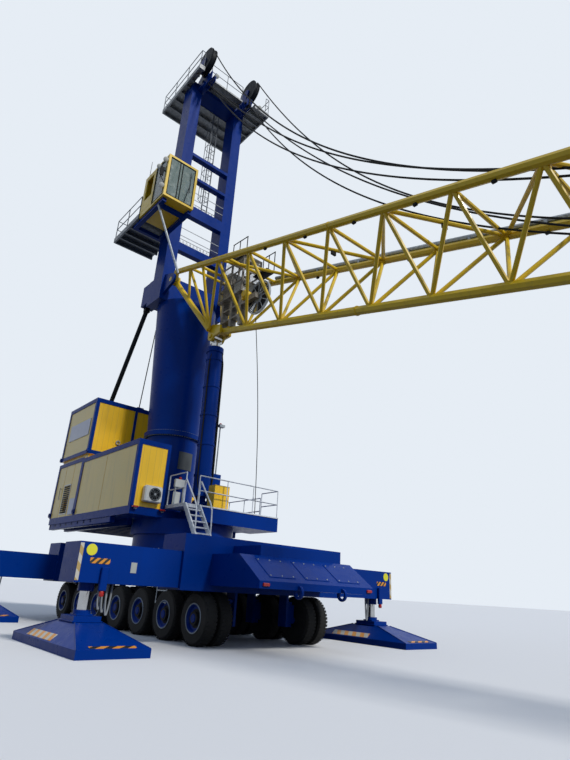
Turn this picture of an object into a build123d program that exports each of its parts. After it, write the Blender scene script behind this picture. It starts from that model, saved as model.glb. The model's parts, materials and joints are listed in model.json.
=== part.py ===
from build123d import *
from math import hypot
import os

# Mobile harbour crane, a half-size model: every length here is half of the real crane's.
# X runs from the slewing axis towards the boom tip, Y to the crane's left, Z up, in millimetres.
# The origin lies on the ground under the slewing axis. The boom is down, as it is parked.

os.makedirs("parts", exist_ok=True)

# Wheels: seven axle lines, a twin wheel at each side, all 14 alike
tyre_radius = 342
tyre_width = 176
twin_gap = 66
shoulder = 34
rim_radius = 178
rim_depth = 46
hub_radius = 88
stub_radius = 42
stub_play = 1
axle_pitch = 825
wheel_track_y = 905
stub_y = 652
stub_length = 328

# Steering: each swivel turns on a kingpin inside the wheel, between two lugs of a hanger
kingpin_y = 590
kingpin_radius = 24
kingpin_play = 1
knuckle_half = 50
knuckle_inner = 45
knuckle_outer = 70
knuckle_bottom = 295
knuckle_top = 555
steer_lug = 40
steer_lug_gap = 5
steer_lug_radius = 55
steer_hanger_y = 490
steer_hanger = 40

# Outriggers: an arm box across the chassis near each end, with a beam out at each side
arm_x = 2400
beam_width = 500
beam_bottom = 715
beam_top = 1175
sleeve_wall = 42
sleeve_floor = 26
sleeve_top = 1410
sleeve_play = 6
runner_play = 0.3
sleeve_end_y = 1500
beam_inner_y = 900
beam_end_y = 2885
beam_retract = 800

# Jack and ground pad under each beam end
jack_y = 2625
jack_rod_radius = 62
jack_sleeve_radius = 95
jack_sleeve_drop = 95
jack_lift = 200
jack_roof = 40
jack_head_room = 60
jack_collar = 40
jack_collar_height = 60
pad_length = 2120
pad_width = 830
pad_plinth = 90
pad_top_length = 560
pad_top_width = 330
pad_top_z = 285
pad_block_z = 350
pad_block_length = 420

# Chassis frame
frame_half_width = 1050
frame_bottom = 765
frame_top = 1175
deck_half_width = 700
deck_top = 1310
nose_height = 90
nose_top_x = 3325
nose_bottom_x = 3790
hanger_thickness = 44
hanger_width = 180

# Slewing ring
ring_radius = 950
ring_top = 1560
ring_gap = 0.3
pedestal_inset = 60

# Superstructure frame and houses
base_bottom = 1825
base_top = 1960
girder_bottom = 1790
girder_root = 300
house_rear_x = -3425
house_front_x = 575
house_half_width = 1400
module_inner_y = 775
module_top = 3110
rear_house_top = 3150
plinth_inset = 40
rear_block_front_x = -2010
container_front_x = -1875
container_bottom = 3225
container_post_y = -475
container_top = 4450
left_house_front_x = -1650
frame_proud = 12
frame_post = 60
frame_band = 80
seam_width = 14
seam_depth = 10
right_seam_x = -760
side_seams_x = (-2945, -2460)
back_seam_y = 460
louvre_x = -2720
louvre_width = 220
louvre_bottom = 2030
louvre_slots = 14
louvre_pitch = 42
louvre_slot = 22
louvre_depth = 24
sign_thickness = 6
low_plate = (-2350, -2080, 1980, 2310)
high_plate = (-3180, -2040, 3660, 4030)
port = (-795, 3570, 50, 30)
lug_radius_small = 48
lug_plate = 22
lug_rise = 20
cooler_y = -1050
cooler_half_width = 150
cooler_bottom = 2050
cooler_top = 2310
cooler_depth = 120
cooler_ring = 105
cooler_hub = 26
lamp_radius = 26
lamp_depth = 40
lamps_y = (-1310, -800)
lamp_drop = 30
step_lamp = (600, 660, -640, -440, 2380, 2520)
step_lamp_post = 30
cabinet_rear_x = 790
cabinet_front_x = 1000
cabinet_near_y = -20
cabinet_far_y = 300
cabinet_top = 2485
tank_rear_x = 415
tank_front_x = 560
tank_near_y = 190
tank_far_y = 370
tank_top = 2775
lamp_post_top = 3720
lamp_post_radius = 14
deck_front_x = 1120
deck_near_y = -430
deck_level = 2045
landing_front_x = 1190
landing_near_y = -740
landing_thickness = 60
stair_run = 490
stair_bottom = 1440
stair_steps = 5
stair_tread = 100
stair_tread_thickness = 20
stringer = 28
stringer_width = 100

# Tower column
tower_x = -875
tower_radius = 550
flange_z = 3650
flange_radius = 610
flange_height = 90
tower_head_x = -1040
tower_head_radius = 690
tower_head_z = 6800

# Mast: twin box columns on the tower
column_front_x = -860
column_depth = 450
column_outer_y = 840
column_width = 290
mast_base_top = 7450
mast_top = 13500
mast_cap = 120
mast_base_step = 180
cross_beams = ((8250, 8450), (9350, 9650), (10490, 10570), (11180, 11270))
cross_beam_depth = 160
mast_floors = (8450, 9650)
lug_root_half = 260
lug_play = 8
pivot_x = -550
pivot_z = 7175
pivot_pin_radius = 55
lug_radius = 150
lug_thickness = 60
rear_horn_x = -1800
horn_bottom = 6900
horn_top = 7440
stay_radius = 52
stay_head = (-1740, 6860)
stay_foot = (-3080, 4520)
stay_y = 700
stay_clevis = 60
stay_foot_half = 130

# Boom: three chords, two above and one below, tapering towards the tip
boom_half_width = 650
boom_tip_half_width = 330
boom_taper_x = 9000
chord_radius = 62
lower_chord_radius = 72
strut_radius = 31
bay = 1058
bays = 13
top_node_x = 2275
top_node_z = 6600
top_slope = 0.29
lower_node_x = 1485
lower_node_z = 5505
lower_slope = 0.2527
root_x = -550
heel_x = 400
root_posts = (80, 620, 1217)
root_crosses = (80, 450, 1500)
tip_axle_x = 16950
tip_axle_z = 1760
tip_plate = 30
tip_inset = 60
tip_axle_radius = 40
tip_plate_rise = 120
root_tube = 55
root_tube_bore_half = 580
tip_sheave_radius = 300
tip_sheave_width = 180

# Hook block under the boom tip, held by two falls of rope
fall_radius = 14
fall_y = 60
fall_x = tip_axle_x + tip_sheave_radius + fall_radius + 0.3
hook_block_top = 1310
hook_block_bottom = 1000
hook_block_half_x = 130
hook_block_half_y = 110
hook_shank_radius = 50
hook_z = 780
hook_radius = 130
hook_throat = 62
hook_half_width = 45

# Service cage on the lower chord, and the cable reel in front of it
cage_rear_x = 550
cage_front_x = 1400
cage_right_y = -140
cage_left_y = 330
cage_floor_z = 6350
cage_top_z = 7475
cage_stand_half = 70
cage_stand_inset = 70
reel_x = 1740
reel_y = 60
reel_z = 6120
reel_radius = 360
reel_half_width = 22
reel_rim = 26
reel_hub = 90
reel_spokes = 12
reel_spoke = 7
reel_pin_radius = 30

# Luffing cylinder
luff_base_x = 515
luff_base_z = 2150
luff_head_x = 430
luff_head_z = 5640
luff_pin_radius = 48
luff_foot_half = 58
luff_foot_lug = 58
luff_bracket_base = 190
luff_bracket_top = 90
luff_bracket_rise = 80
luff_eye_half = 95
luff_lug = 48
luff_lug_play = 4
luff_boss = 28
luff_lug_radius = 108
heel_leg_y = 185
heel_tube_x = 700
heel_tube_radius = 60
barrel_radius = 160
gland_length = 110
gland_proud = 18
barrel_floor = 60
rod_showing = 261
rod_radius = 95
rod_length = 2980

# Operator's cab on the right side of the mast
cab_rear_x = -950
cab_front_x = 200
cab_outer_y = -1600
cab_inner_y = -850
cab_floor = 8620
cab_deck_level = 8750
cab_roof = 9760
cab_wall = 32
cab_post = 60
cab_door_front_x = -450
door_gap = 6
hinge_play = 0.3
glass = 8
cab_deck_rear_x = -2300
cab_deck_outer_y = -1620
cab_deck_inner_y = -850
cab_deck_rear_inner_y = -570
cab_deck_thickness = 40
cab_joists = 4
joist_width = 40
joist_depth = 90
cab_beam = 90
mast_floor = 30
ladder_x = -1345
ladder_y = 240
ladder_half = 80
ladder_rung = 9
ladder_pitch = 150
hoop_radius = 130
hoop_pitch = 450
head_joists = 4
groove_depth = 26
sheave_flange = 22
conduit_radius = 38
conduit_lift = 110
conduit_start_x = 1500
saddle_half = 22
cage_post = 34
cage_plate = 24
cage_box_top = 6820
cage_rails_z = (6600, 6850, 7100)
cage_braces_z = (5850, 6100)

# Mast head
head_deck = 13620
head_deck_thickness = 50
head_rear_x = -2330
head_front_x = -295
head_right_y = -1000
head_left_y = 1350
head_sheave_x = -450
head_sheave_y = 725
head_sheave_z = 14030
head_sheave_radius = 375
head_sheave_width = 150
head_pin_radius = 45
head_cheek = 30
head_cheek_gap = 9
head_cheek_foot_x = (-1300, -500)
head_cheek_top_x = -760
head_cheek_round = 90

rail_height = 520
rail_inset = 20
seat_width = 260
armrest_y = 200

def finish(builder, name):
    builder.part.label = name
    export_step(builder.part, f"parts/{name}.step")


def block(x0, x1, y0, y1, z0, z1, mode=Mode.ADD):
    """One box between two limits along each axis."""
    with Locations(((x0 + x1) / 2, (y0 + y1) / 2, (z0 + z1) / 2)):
        Box(x1 - x0, y1 - y0, z1 - z0, mode=mode)


def bar(start, end, radius, sides=8):
    """One straight member between two points, as a loose solid."""
    start, end = Vector(*start), Vector(*end)
    with BuildSketch(Plane(origin=start, z_dir=end - start), mode=Mode.PRIVATE) as section:
        if sides:
            RegularPolygon(radius, sides)
        else:
            Circle(radius)
    return extrude(section.sketch, amount=(end - start).length, mode=Mode.PRIVATE)


def railing(corners, height, posts, radius=11):
    """Two rails along a line of corners, on evenly spaced posts."""
    members = []
    for start, end in zip(corners, corners[1:]):
        for level in (height / 2, height):
            a = (start[0], start[1], start[2] + level)
            b = (end[0], end[1], end[2] + level)
            members.append(bar(a, b, radius, 4))
        count = max(1, round(Vector(*end).sub(Vector(*start)).length / posts))
        for i in range(count + 1):
            foot = [start[k] + (end[k] - start[k]) * i / count for k in range(3)]
            members.append(bar(foot, (foot[0], foot[1], foot[2] + height), radius, 4))
    return members


# Wheel and steering names: line number from the rear, then the side
lines = [(number, (number - 4) * axle_pitch) for number in range(1, 8)]
steered = (1, 2, 6, 7)
sides = (("right", -1), ("left", 1))
twin_half = tyre_width + twin_gap / 2

for number, axle_x in lines:
    for side, sign in sides:
        centre = Vector(axle_x, sign * wheel_track_y, tyre_radius)
        with BuildPart() as wheel:
            with BuildSketch(Plane(origin=centre, x_dir=(0, sign, 0), z_dir=(-sign, 0, 0))):
                with BuildLine():
                    Polyline(
                        (-twin_half, rim_radius), (-twin_half, tyre_radius - shoulder),
                        (-twin_half + shoulder, tyre_radius), (-twin_gap / 2 - shoulder, tyre_radius),
                        (-twin_gap / 2, tyre_radius - shoulder), (-twin_gap / 2, rim_radius),
                        (twin_gap / 2, rim_radius), (twin_gap / 2, tyre_radius - shoulder),
                        (twin_gap / 2 + shoulder, tyre_radius), (twin_half - shoulder, tyre_radius),
                        (twin_half, tyre_radius - shoulder), (twin_half, rim_radius),
                        (twin_half - rim_depth, rim_radius), (twin_half - rim_depth, hub_radius),
                        (twin_half, hub_radius), (twin_half, 0),
                        (twin_half - 2 * rim_depth, 0),
                        (twin_half - 2 * rim_depth, stub_radius + stub_play),
                        (-twin_half, stub_radius + stub_play), (-twin_half, rim_radius))
                make_face()
            revolve(axis=Axis(centre, (0, sign, 0)))
        finish(wheel, f"wheel_{number}_{side}")
        if number in steered:
            with BuildPart() as swivel:
                block(axle_x - knuckle_half, axle_x + knuckle_half,
                      min(sign * (kingpin_y - knuckle_inner), sign * (kingpin_y + knuckle_outer)),
                      max(sign * (kingpin_y - knuckle_inner), sign * (kingpin_y + knuckle_outer)),
                      knuckle_bottom, knuckle_top)
                pin_bottom = knuckle_bottom - steer_lug_gap - steer_lug
                with BuildSketch(Plane(origin=(axle_x, sign * kingpin_y, pin_bottom))):
                    Circle(kingpin_radius)
                extrude(amount=knuckle_top - knuckle_bottom + 2 * (steer_lug_gap + steer_lug))
                with BuildSketch(Plane(origin=(axle_x, sign * stub_y, tyre_radius), z_dir=(0, sign, 0))):
                    Circle(stub_radius)
                extrude(amount=stub_length)
            finish(swivel, f"steering_swivel_{number}_{side}")

# Chassis: frame, arm sleeves, deck, pedestal and the hangers of the three fixed axle lines
with BuildPart() as chassis:
    with BuildSketch(Plane.XZ.offset(-frame_half_width)):
        with BuildLine():
            Polyline((-nose_bottom_x, frame_bottom), (nose_bottom_x, frame_bottom),
                     (nose_bottom_x, frame_bottom + nose_height), (nose_top_x, frame_top),
                     (-nose_top_x, frame_top), (-nose_bottom_x, frame_bottom + nose_height),
                     (-nose_bottom_x, frame_bottom))
        make_face()
    extrude(amount=2 * frame_half_width)
    block(-nose_top_x, nose_top_x, -deck_half_width, deck_half_width, frame_top, deck_top)
    sleeve_half = beam_width / 2 + sleeve_play + sleeve_wall
    for end in (-1, 1):
        block(end * arm_x - sleeve_half, end * arm_x + sleeve_half, -sleeve_end_y, sleeve_end_y,
              beam_bottom - sleeve_floor, sleeve_top)
    for end in (-1, 1):
        for side in (-1, 1):
            inner = side * (beam_inner_y - beam_retract - sleeve_play)
            outer = side * (sleeve_end_y + 1)
            block(end * arm_x - beam_width / 2 - sleeve_play, end * arm_x + beam_width / 2 + sleeve_play,
                  min(inner, outer), max(inner, outer),
                  beam_bottom - runner_play, beam_top + sleeve_play, mode=Mode.SUBTRACT)
    with BuildSketch(Plane.XY.offset(deck_top)):
        Circle(ring_radius - pedestal_inset)
    extrude(amount=ring_top - deck_top)
    for number, axle_x in lines:
        under_arm = abs(abs(axle_x) - arm_x) < beam_width / 2
        hanger_top = beam_bottom - sleeve_floor / 2 if under_arm else frame_bottom + 1
        for side in (-1, 1):
            if number in steered:
                block(axle_x - hanger_width / 2, axle_x + hanger_width / 2,
                      side * steer_hanger_y - steer_hanger / 2, side * steer_hanger_y + steer_hanger / 2,
                      knuckle_bottom - steer_lug_gap - steer_lug, hanger_top)
                for lug_bottom in (knuckle_bottom - steer_lug_gap - steer_lug, knuckle_top + steer_lug_gap):
                    with BuildSketch(Plane.XY.offset(lug_bottom)):
                        with Locations((axle_x, side * (steer_hanger_y + kingpin_y) / 2)):
                            Rectangle(2 * steer_lug_radius, kingpin_y - steer_hanger_y)
                        with Locations((axle_x, side * kingpin_y)):
                            Circle(steer_lug_radius)
                            Circle(kingpin_radius + kingpin_play, mode=Mode.SUBTRACT)
                    extrude(amount=steer_lug)
            else:
                block(axle_x - hanger_width / 2, axle_x + hanger_width / 2,
                      side * stub_y - hanger_thickness / 2, side * stub_y + hanger_thickness / 2,
                      tyre_radius - hanger_width / 2, hanger_top)
                with BuildSketch(Plane(origin=(axle_x, side * stub_y, tyre_radius), z_dir=(0, side, 0))):
                    Circle(stub_radius)
                extrude(amount=stub_length)
finish(chassis, "chassis")

# Outrigger beams with the jack sleeves, and the jack feet with their pads
for end_name, end in (("front", 1), ("rear", -1)):
    for side, sign in sides:
        label = f"{end_name}_{side}"
        with BuildPart() as beam:
            block(end * arm_x - beam_width / 2, end * arm_x + beam_width / 2,
                  min(sign * beam_inner_y, sign * beam_end_y), max(sign * beam_inner_y, sign * beam_end_y),
                  beam_bottom, beam_top)
            with BuildSketch(Plane(origin=(end * arm_x, sign * jack_y, beam_bottom - jack_sleeve_drop))):
                Circle(jack_sleeve_radius)
            extrude(amount=jack_sleeve_drop + 10)
            with BuildSketch(Plane(origin=(end * arm_x, sign * jack_y, beam_bottom - jack_sleeve_drop))):
                Circle(jack_rod_radius + 1)
            extrude(amount=beam_top - beam_bottom + jack_sleeve_drop - jack_roof, mode=Mode.SUBTRACT)
        finish(beam, f"outrigger_beam_{label}")
        with BuildPart() as foot:
            base = Plane(origin=(end * arm_x, sign * jack_y, 0))
            with BuildSketch(base):
                Rectangle(pad_length, pad_width)
            extrude(amount=pad_plinth)
            with BuildSketch(base.offset(pad_plinth)):
                Rectangle(pad_length, pad_width)
            with BuildSketch(base.offset(pad_top_z)):
                Rectangle(pad_top_length, pad_top_width)
            loft()
            with BuildSketch(base.offset(pad_top_z)):
                Rectangle(pad_block_length, pad_top_width)
            extrude(amount=pad_block_z - pad_top_z)
            with BuildSketch(base.offset(pad_block_z)):
                Circle(jack_rod_radius + jack_collar)
            extrude(amount=jack_collar_height)
            with BuildSketch(base.offset(pad_block_z)):
                Circle(jack_rod_radius)
            extrude(amount=beam_top - jack_head_room - jack_lift - jack_roof - pad_block_z)
        finish(foot, f"jack_foot_{label}")

# Turntable: ring, base frame and front deck girder
with BuildPart() as turntable:
    with BuildSketch(Plane.XY.offset(ring_top + ring_gap)):
        Circle(ring_radius)
    extrude(amount=base_bottom - ring_top - ring_gap)
    block(house_rear_x, house_front_x, -house_half_width, house_half_width, base_bottom, base_top)
    block(house_front_x, deck_front_x, deck_near_y, house_half_width, girder_bottom, deck_level)
    block(house_front_x - girder_root, house_front_x + 1, deck_near_y, house_half_width, girder_bottom,
          base_bottom + 1)
    block(tank_rear_x, tank_front_x, tank_near_y, tank_far_y, base_top, tank_top)
    with BuildSketch(Plane.XZ):
        with BuildLine():
            Polyline((luff_base_x - luff_bracket_base, base_top),
                     (luff_base_x + luff_bracket_base, base_top),
                     (luff_base_x + luff_bracket_top, luff_base_z + luff_bracket_rise),
                     (luff_base_x - luff_bracket_top, luff_base_z + luff_bracket_rise),
                     (luff_base_x - luff_bracket_base, base_top))
        make_face()
    foot_slot = luff_foot_half + luff_lug_play
    extrude(amount=foot_slot + luff_foot_lug, both=True)
    block(luff_base_x - luff_bracket_base - 10, luff_base_x + luff_bracket_base + 10, -foot_slot, foot_slot,
          base_top, luff_base_z + luff_bracket_rise + 10, mode=Mode.SUBTRACT)
    with BuildSketch(Plane.XZ):
        with Locations((luff_base_x, luff_base_z)):
            Circle(luff_pin_radius)
    extrude(amount=foot_slot + luff_foot_lug, both=True)
finish(turntable, "turntable")

for side, sign in sides:
    front_x = house_front_x if sign < 0 else left_house_front_x
    with BuildPart() as module:
        block(rear_block_front_x, front_x, min(sign * module_inner_y, sign * house_half_width),
              max(sign * module_inner_y, sign * house_half_width), base_top, module_top)
        outer = sign * (house_half_width - seam_depth)
        for x in (right_seam_x,) if sign < 0 else ():
            block(x - seam_width / 2, x + seam_width / 2, outer - seam_depth, outer + seam_depth,
                  base_top - 1, module_top + 1, mode=Mode.SUBTRACT)
        if sign > 0:
            block(cabinet_rear_x, cabinet_front_x, cabinet_near_y, cabinet_far_y, deck_level, cabinet_top)
    finish(module, f"side_house_{side}")

with BuildPart() as rear_house:
    block(house_rear_x, rear_block_front_x, -house_half_width, house_half_width, base_top, rear_house_top)
    block(house_rear_x + plinth_inset, container_front_x - plinth_inset, -house_half_width + plinth_inset,
          house_half_width - plinth_inset, rear_house_top, container_bottom)
    for side in (-1, 1):
        outer = side * house_half_width
        for x in side_seams_x:
            block(x - seam_width / 2, x + seam_width / 2, outer - seam_depth, outer + seam_depth,
                  base_top - 1, rear_house_top + 1, mode=Mode.SUBTRACT)
        for i in range(louvre_slots):
            z = louvre_bottom + i * louvre_pitch
            block(louvre_x, louvre_x + louvre_width, outer - louvre_depth, outer + louvre_depth,
                  z, z + louvre_slot, mode=Mode.SUBTRACT)
    for y in (-back_seam_y, back_seam_y):
        block(house_rear_x - seam_depth, house_rear_x + seam_depth, y - seam_width / 2, y + seam_width / 2,
              base_top - 1, rear_house_top + 1, mode=Mode.SUBTRACT)
finish(rear_house, "rear_house")

with BuildPart() as container:
    block(house_rear_x, container_front_x, -house_half_width, house_half_width, container_bottom,
          container_top)
finish(container, "winch_house")


def module_frame(x, y, z, proud, sill):
    """Corner posts, roof band and sill of one module, standing proud of the sides that show."""
    over = frame_proud + 1
    with BuildPart(mode=Mode.PRIVATE) as shell:
        block(x[0] - proud[0], x[1] + proud[1], y[0] - proud[2], y[1] + proud[3], z[0], z[1] + proud[4])
        block(x[0] + frame_post, x[1] - frame_post, y[0] - over, y[1] + over,
              z[0] + sill, z[1] - frame_band, mode=Mode.SUBTRACT)
        block(x[0] - over, x[1] + over, y[0] + frame_post, y[1] - frame_post,
              z[0] + sill, z[1] - frame_band, mode=Mode.SUBTRACT)
        block(x[0] + frame_post, x[1] - frame_post, y[0] + frame_post, y[1] - frame_post,
              z[0] - 1, z[1] + over, mode=Mode.SUBTRACT)
        block(x[0], x[1], y[0], y[1], z[0], z[1], mode=Mode.SUBTRACT)
    return shell.part


with BuildPart() as house_frames:
    out = frame_proud
    wide = (-house_half_width, house_half_width)
    add(module_frame((rear_block_front_x, house_front_x), (-house_half_width, -module_inner_y),
                     (base_top, module_top), (0, out, out, 0, out), 0))
    add(module_frame((rear_block_front_x, left_house_front_x), (module_inner_y, house_half_width),
                     (base_top, module_top), (0, out, 0, out, out), 0))
    add(module_frame((house_rear_x, rear_block_front_x), wide, (base_top, rear_house_top),
                     (out, 0, out, out, 0), 0))
    add(module_frame((house_rear_x, container_front_x), wide, (container_bottom, container_top),
                     (out, out, out, out, out), frame_band))
    block(container_front_x, container_front_x + out, container_post_y - frame_post / 2,
          container_post_y + frame_post / 2, container_bottom + 1, container_top)
    for side in (-1, 1):
        for x, z in ((house_rear_x, container_bottom), (container_front_x, container_bottom),
                     (house_rear_x, base_top + lug_rise), (rear_block_front_x, base_top + lug_rise)):
            with BuildSketch(Plane(origin=(x, side * house_half_width, z + lug_radius_small),
                                   z_dir=(0, side, 0))):
                Circle(lug_radius_small)
                Circle(lug_radius_small / 2, mode=Mode.SUBTRACT)
            extrude(amount=frame_proud + lug_plate)
finish(house_frames, "house_frames")

with BuildPart() as fittings:
    cooler_x = house_front_x + cooler_depth
    cooler_z = (cooler_bottom + cooler_top) / 2
    block(house_front_x, cooler_x, cooler_y - cooler_half_width, cooler_y + cooler_half_width,
          cooler_bottom, cooler_top)
    with BuildSketch(Plane(origin=(cooler_x, cooler_y + 20, cooler_z), z_dir=(1, 0, 0))):
        Circle(cooler_ring)
        Circle(cooler_ring - 12, mode=Mode.SUBTRACT)
        Circle(cooler_hub)
        for angle in range(0, 180, 30):
            with Locations(Rotation(0, 0, angle)):
                Rectangle(2 * cooler_ring - 10, 5)
    extrude(amount=10)
    for y in lamps_y:
        with BuildSketch(Plane(origin=(house_front_x, y, base_top - lamp_drop), z_dir=(1, 0, 0))):
            Circle(lamp_radius)
        extrude(amount=lamp_depth)
    for rear, front, bottom, top_edge in (low_plate, high_plate):
        block(rear, front, -house_half_width - sign_thickness, -house_half_width, bottom, top_edge)
    port_y, port_z, port_radius, port_bore = port
    with BuildSketch(Plane(origin=(container_front_x, port_y, port_z), z_dir=(1, 0, 0))):
        Circle(port_radius)
        Circle(port_bore, mode=Mode.SUBTRACT)
    extrude(amount=port_bore)
    block(*step_lamp)
    middle_x = (step_lamp[0] + step_lamp[1]) / 2
    for y in (step_lamp[2] + 10, step_lamp[3] - step_lamp_post):
        block(middle_x - step_lamp_post / 2, middle_x + step_lamp_post / 2, y, y + 20, deck_level,
              step_lamp[4])
    post_y = (tank_near_y + tank_far_y) / 2
    with BuildSketch(Plane.XY.offset(tank_top)):
        with Locations((tank_front_x - 60, post_y)):
            Circle(lamp_post_radius)
    extrude(amount=lamp_post_top - tank_top)
    block(tank_front_x - 70, tank_front_x + 20, post_y - 60, post_y + 60, lamp_post_top, lamp_post_top + 50)
finish(fittings, "house_fittings")

# Tower column: a welded shell with a bolted flange, its rear flaring towards the head
with BuildPart() as tower:
    with BuildSketch(Plane(origin=(tower_x, 0, base_top))):
        Circle(tower_radius)
    extrude(amount=flange_z - base_top)
    with BuildSketch(Plane(origin=(tower_x, 0, flange_z - flange_height / 2))):
        Circle(flange_radius)
    extrude(amount=flange_height)
    with BuildSketch(Plane(origin=(tower_x, 0, flange_z))):
        Circle(tower_radius)
    with BuildSketch(Plane(origin=(tower_head_x, 0, tower_head_z))):
        Circle(tower_head_radius)
    loft()
finish(tower, "tower_column")

# Mast: base box, twin columns, cross beams, pivot lugs and rear horns for the stays
with BuildPart() as mast:
    rear_x = column_front_x - column_depth
    block(rear_x - mast_base_step, column_front_x, -column_outer_y, column_outer_y, tower_head_z,
          mast_base_top)
    for side in (-1, 1):
        inner = side * (column_outer_y - column_width)
        outer = side * column_outer_y
        block(rear_x, column_front_x, min(inner, outer), max(inner, outer), mast_base_top, mast_top)
        block(rear_horn_x, rear_x - mast_base_step, min(inner, outer), max(inner, outer), horn_bottom,
              horn_top)
        lug_inner = side * (boom_half_width + chord_radius + lug_play)
        lug_outer = side * (boom_half_width + chord_radius + lug_play + lug_thickness)
        with BuildSketch(Plane.XZ.offset(-min(lug_inner, lug_outer) - lug_thickness)):
            with BuildLine():
                Polyline((column_front_x - 5, pivot_z - lug_root_half), (pivot_x, pivot_z - lug_radius),
                         (pivot_x, pivot_z + lug_radius), (column_front_x - 5, pivot_z + lug_root_half),
                         (column_front_x - 5, pivot_z - lug_root_half))
            make_face()
            with Locations((pivot_x, pivot_z)):
                Circle(lug_radius)
                Circle(pivot_pin_radius + 1, mode=Mode.SUBTRACT)
        extrude(amount=lug_thickness)
    for z0, z1 in cross_beams:
        block(column_front_x - cross_beam_depth, column_front_x, -column_outer_y + 10, column_outer_y - 10,
              z0, z1)
    block(rear_x, column_front_x, -column_outer_y, column_outer_y, mast_top, mast_top + mast_cap)
    for z in mast_floors:
        block(rear_x + 20, column_front_x - 20, -column_outer_y + column_width,
              column_outer_y - column_width,
              z, z + mast_floor)
    for y in (-column_outer_y - cab_beam, cab_outer_y + 40):
        block(rear_x, cab_front_x - 80, y, y + cab_beam, cab_floor - cab_beam, cab_floor)
    for x in (rear_x, cab_front_x - 360):
        block(x, x + cab_beam, cab_outer_y + 40, -column_outer_y, cab_floor - cab_beam, cab_floor)
finish(mast, "mast")

with BuildPart() as stays:
    for side in (-1, 1):
        add(bar((stay_head[0], side * stay_y, stay_head[1]), (stay_foot[0], side * stay_y, stay_foot[1]),
                stay_radius, 0))
        block(stay_foot[0] - stay_foot_half, stay_foot[0] + stay_foot_half,
              side * stay_y - stay_clevis, side * stay_y + stay_clevis,
              container_top, stay_foot[1] + stay_clevis)
        block(stay_head[0] - stay_clevis, stay_head[0] + stay_clevis,
              side * stay_y - stay_clevis, side * stay_y + stay_clevis,
              stay_head[1] - stay_clevis, horn_bottom)
finish(stays, "rear_stays")

# Luffing cylinder, drawn along its own line from the base pin to the head pin
luff_length = hypot(luff_head_x - luff_base_x, luff_head_z - luff_base_z)
barrel_length = luff_length - rod_showing
luff_base = Vector(luff_base_x, 0, luff_base_z)
luff_line = Vector(luff_head_x - luff_base_x, 0, luff_head_z - luff_base_z).normalized()
luff_plane = Plane(origin=luff_base, x_dir=(0, 1, 0), z_dir=luff_line)
eye_outer = luff_pin_radius + 52
luff_neck = 150

with BuildPart() as barrel:
    with BuildSketch(luff_plane.offset(luff_neck)):
        Circle(barrel_radius)
    extrude(amount=barrel_length - luff_neck)
    with BuildSketch(luff_plane):
        Rectangle(2 * luff_foot_half, 1.6 * eye_outer)
    extrude(amount=luff_neck)
    with BuildSketch(luff_plane.offset(barrel_length - gland_length)):
        Circle(barrel_radius + gland_proud)
    extrude(amount=gland_length)
    with BuildSketch(Plane(origin=luff_base, z_dir=(0, -1, 0))):
        Circle(eye_outer)
    extrude(amount=luff_foot_half, both=True)
    with BuildSketch(Plane(origin=luff_base, z_dir=(0, -1, 0))):
        Circle(luff_pin_radius + 1)
    extrude(amount=luff_foot_half, both=True, mode=Mode.SUBTRACT)
    with BuildSketch(luff_plane.offset(luff_length - rod_length - barrel_floor)):
        Circle(rod_radius + 1)
    extrude(amount=barrel_length, mode=Mode.SUBTRACT)
finish(barrel, "luffing_barrel")

luff_head = Vector(luff_head_x, 0, luff_head_z)
with BuildPart() as rod:
    with BuildSketch(luff_plane.offset(luff_length - rod_length)):
        Circle(rod_radius)
    extrude(amount=rod_length - luff_neck)
    with BuildSketch(luff_plane.offset(luff_length - luff_neck)):
        Rectangle(2 * luff_eye_half, 1.6 * eye_outer)
    extrude(amount=luff_neck)
    with BuildSketch(Plane(origin=luff_head, z_dir=(0, -1, 0))):
        Circle(eye_outer)
    extrude(amount=luff_eye_half, both=True)
finish(rod, "luffing_rod")


# Boom
def top_z(x):
    return top_node_z - top_slope * (x - top_node_x)


def low_z(x):
    return lower_node_z - lower_slope * (x - lower_node_x)


def half_width(x):
    """Half the distance between the upper chords, which close in towards the tip."""
    if x <= boom_taper_x:
        return boom_half_width
    share = (x - boom_taper_x) / (tip_axle_x - boom_taper_x)
    return boom_half_width + (boom_tip_half_width - boom_half_width) * share


def top(x, sign):
    return (x, sign * half_width(x), top_z(x))


def low(x):
    return (x, 0, low_z(x))


members = []
top_end_x = top_node_x + bays * bay
low_end_x = lower_node_x + (bays + 1) * bay
for sign in (-1, 1):
    heel = (heel_x, sign * heel_leg_y, low_z(heel_x))
    members.append(bar(top(root_x, sign), top(boom_taper_x, sign), chord_radius))
    members.append(bar(top(boom_taper_x, sign), top(top_end_x + 60, sign), chord_radius))
    foot = (pivot_x, sign * boom_half_width, pivot_z)
    members.append(bar(foot, heel, chord_radius))
    members.append(bar(foot, top(root_x, sign), chord_radius))
    leg = [foot[k] + 0.42 * (heel[k] - foot[k]) for k in range(3)]
    members.append(bar(top(root_posts[0], sign), leg, strut_radius))
    members.append(bar(top(root_posts[0], sign), heel, strut_radius))
    members.append(bar(top(root_posts[1], sign), heel, strut_radius))
    members.append(bar(top(root_posts[2], sign), heel, strut_radius))
    members.append(bar(top(root_posts[2], sign), low(lower_node_x), strut_radius))
members.append(bar(low(heel_tube_x), low(low_end_x + 60), lower_chord_radius))
for x in root_crosses:
    members.append(bar(top(x, -1), top(x, 1), strut_radius))
for i in range(bays + 1):
    x = top_node_x + i * bay
    for sign in (-1, 1):
        members.append(bar(top(x, sign), low(lower_node_x + i * bay), strut_radius))
        members.append(bar(top(x, sign), low(lower_node_x + (i + 1) * bay), strut_radius))
    members.append(bar(top(x, -1), top(x, 1), strut_radius))
    turn = 1 if i % 2 else -1
    start = x - bay if i else root_posts[2]
    members.append(bar(top(start, turn), top(x, -turn), strut_radius))

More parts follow.
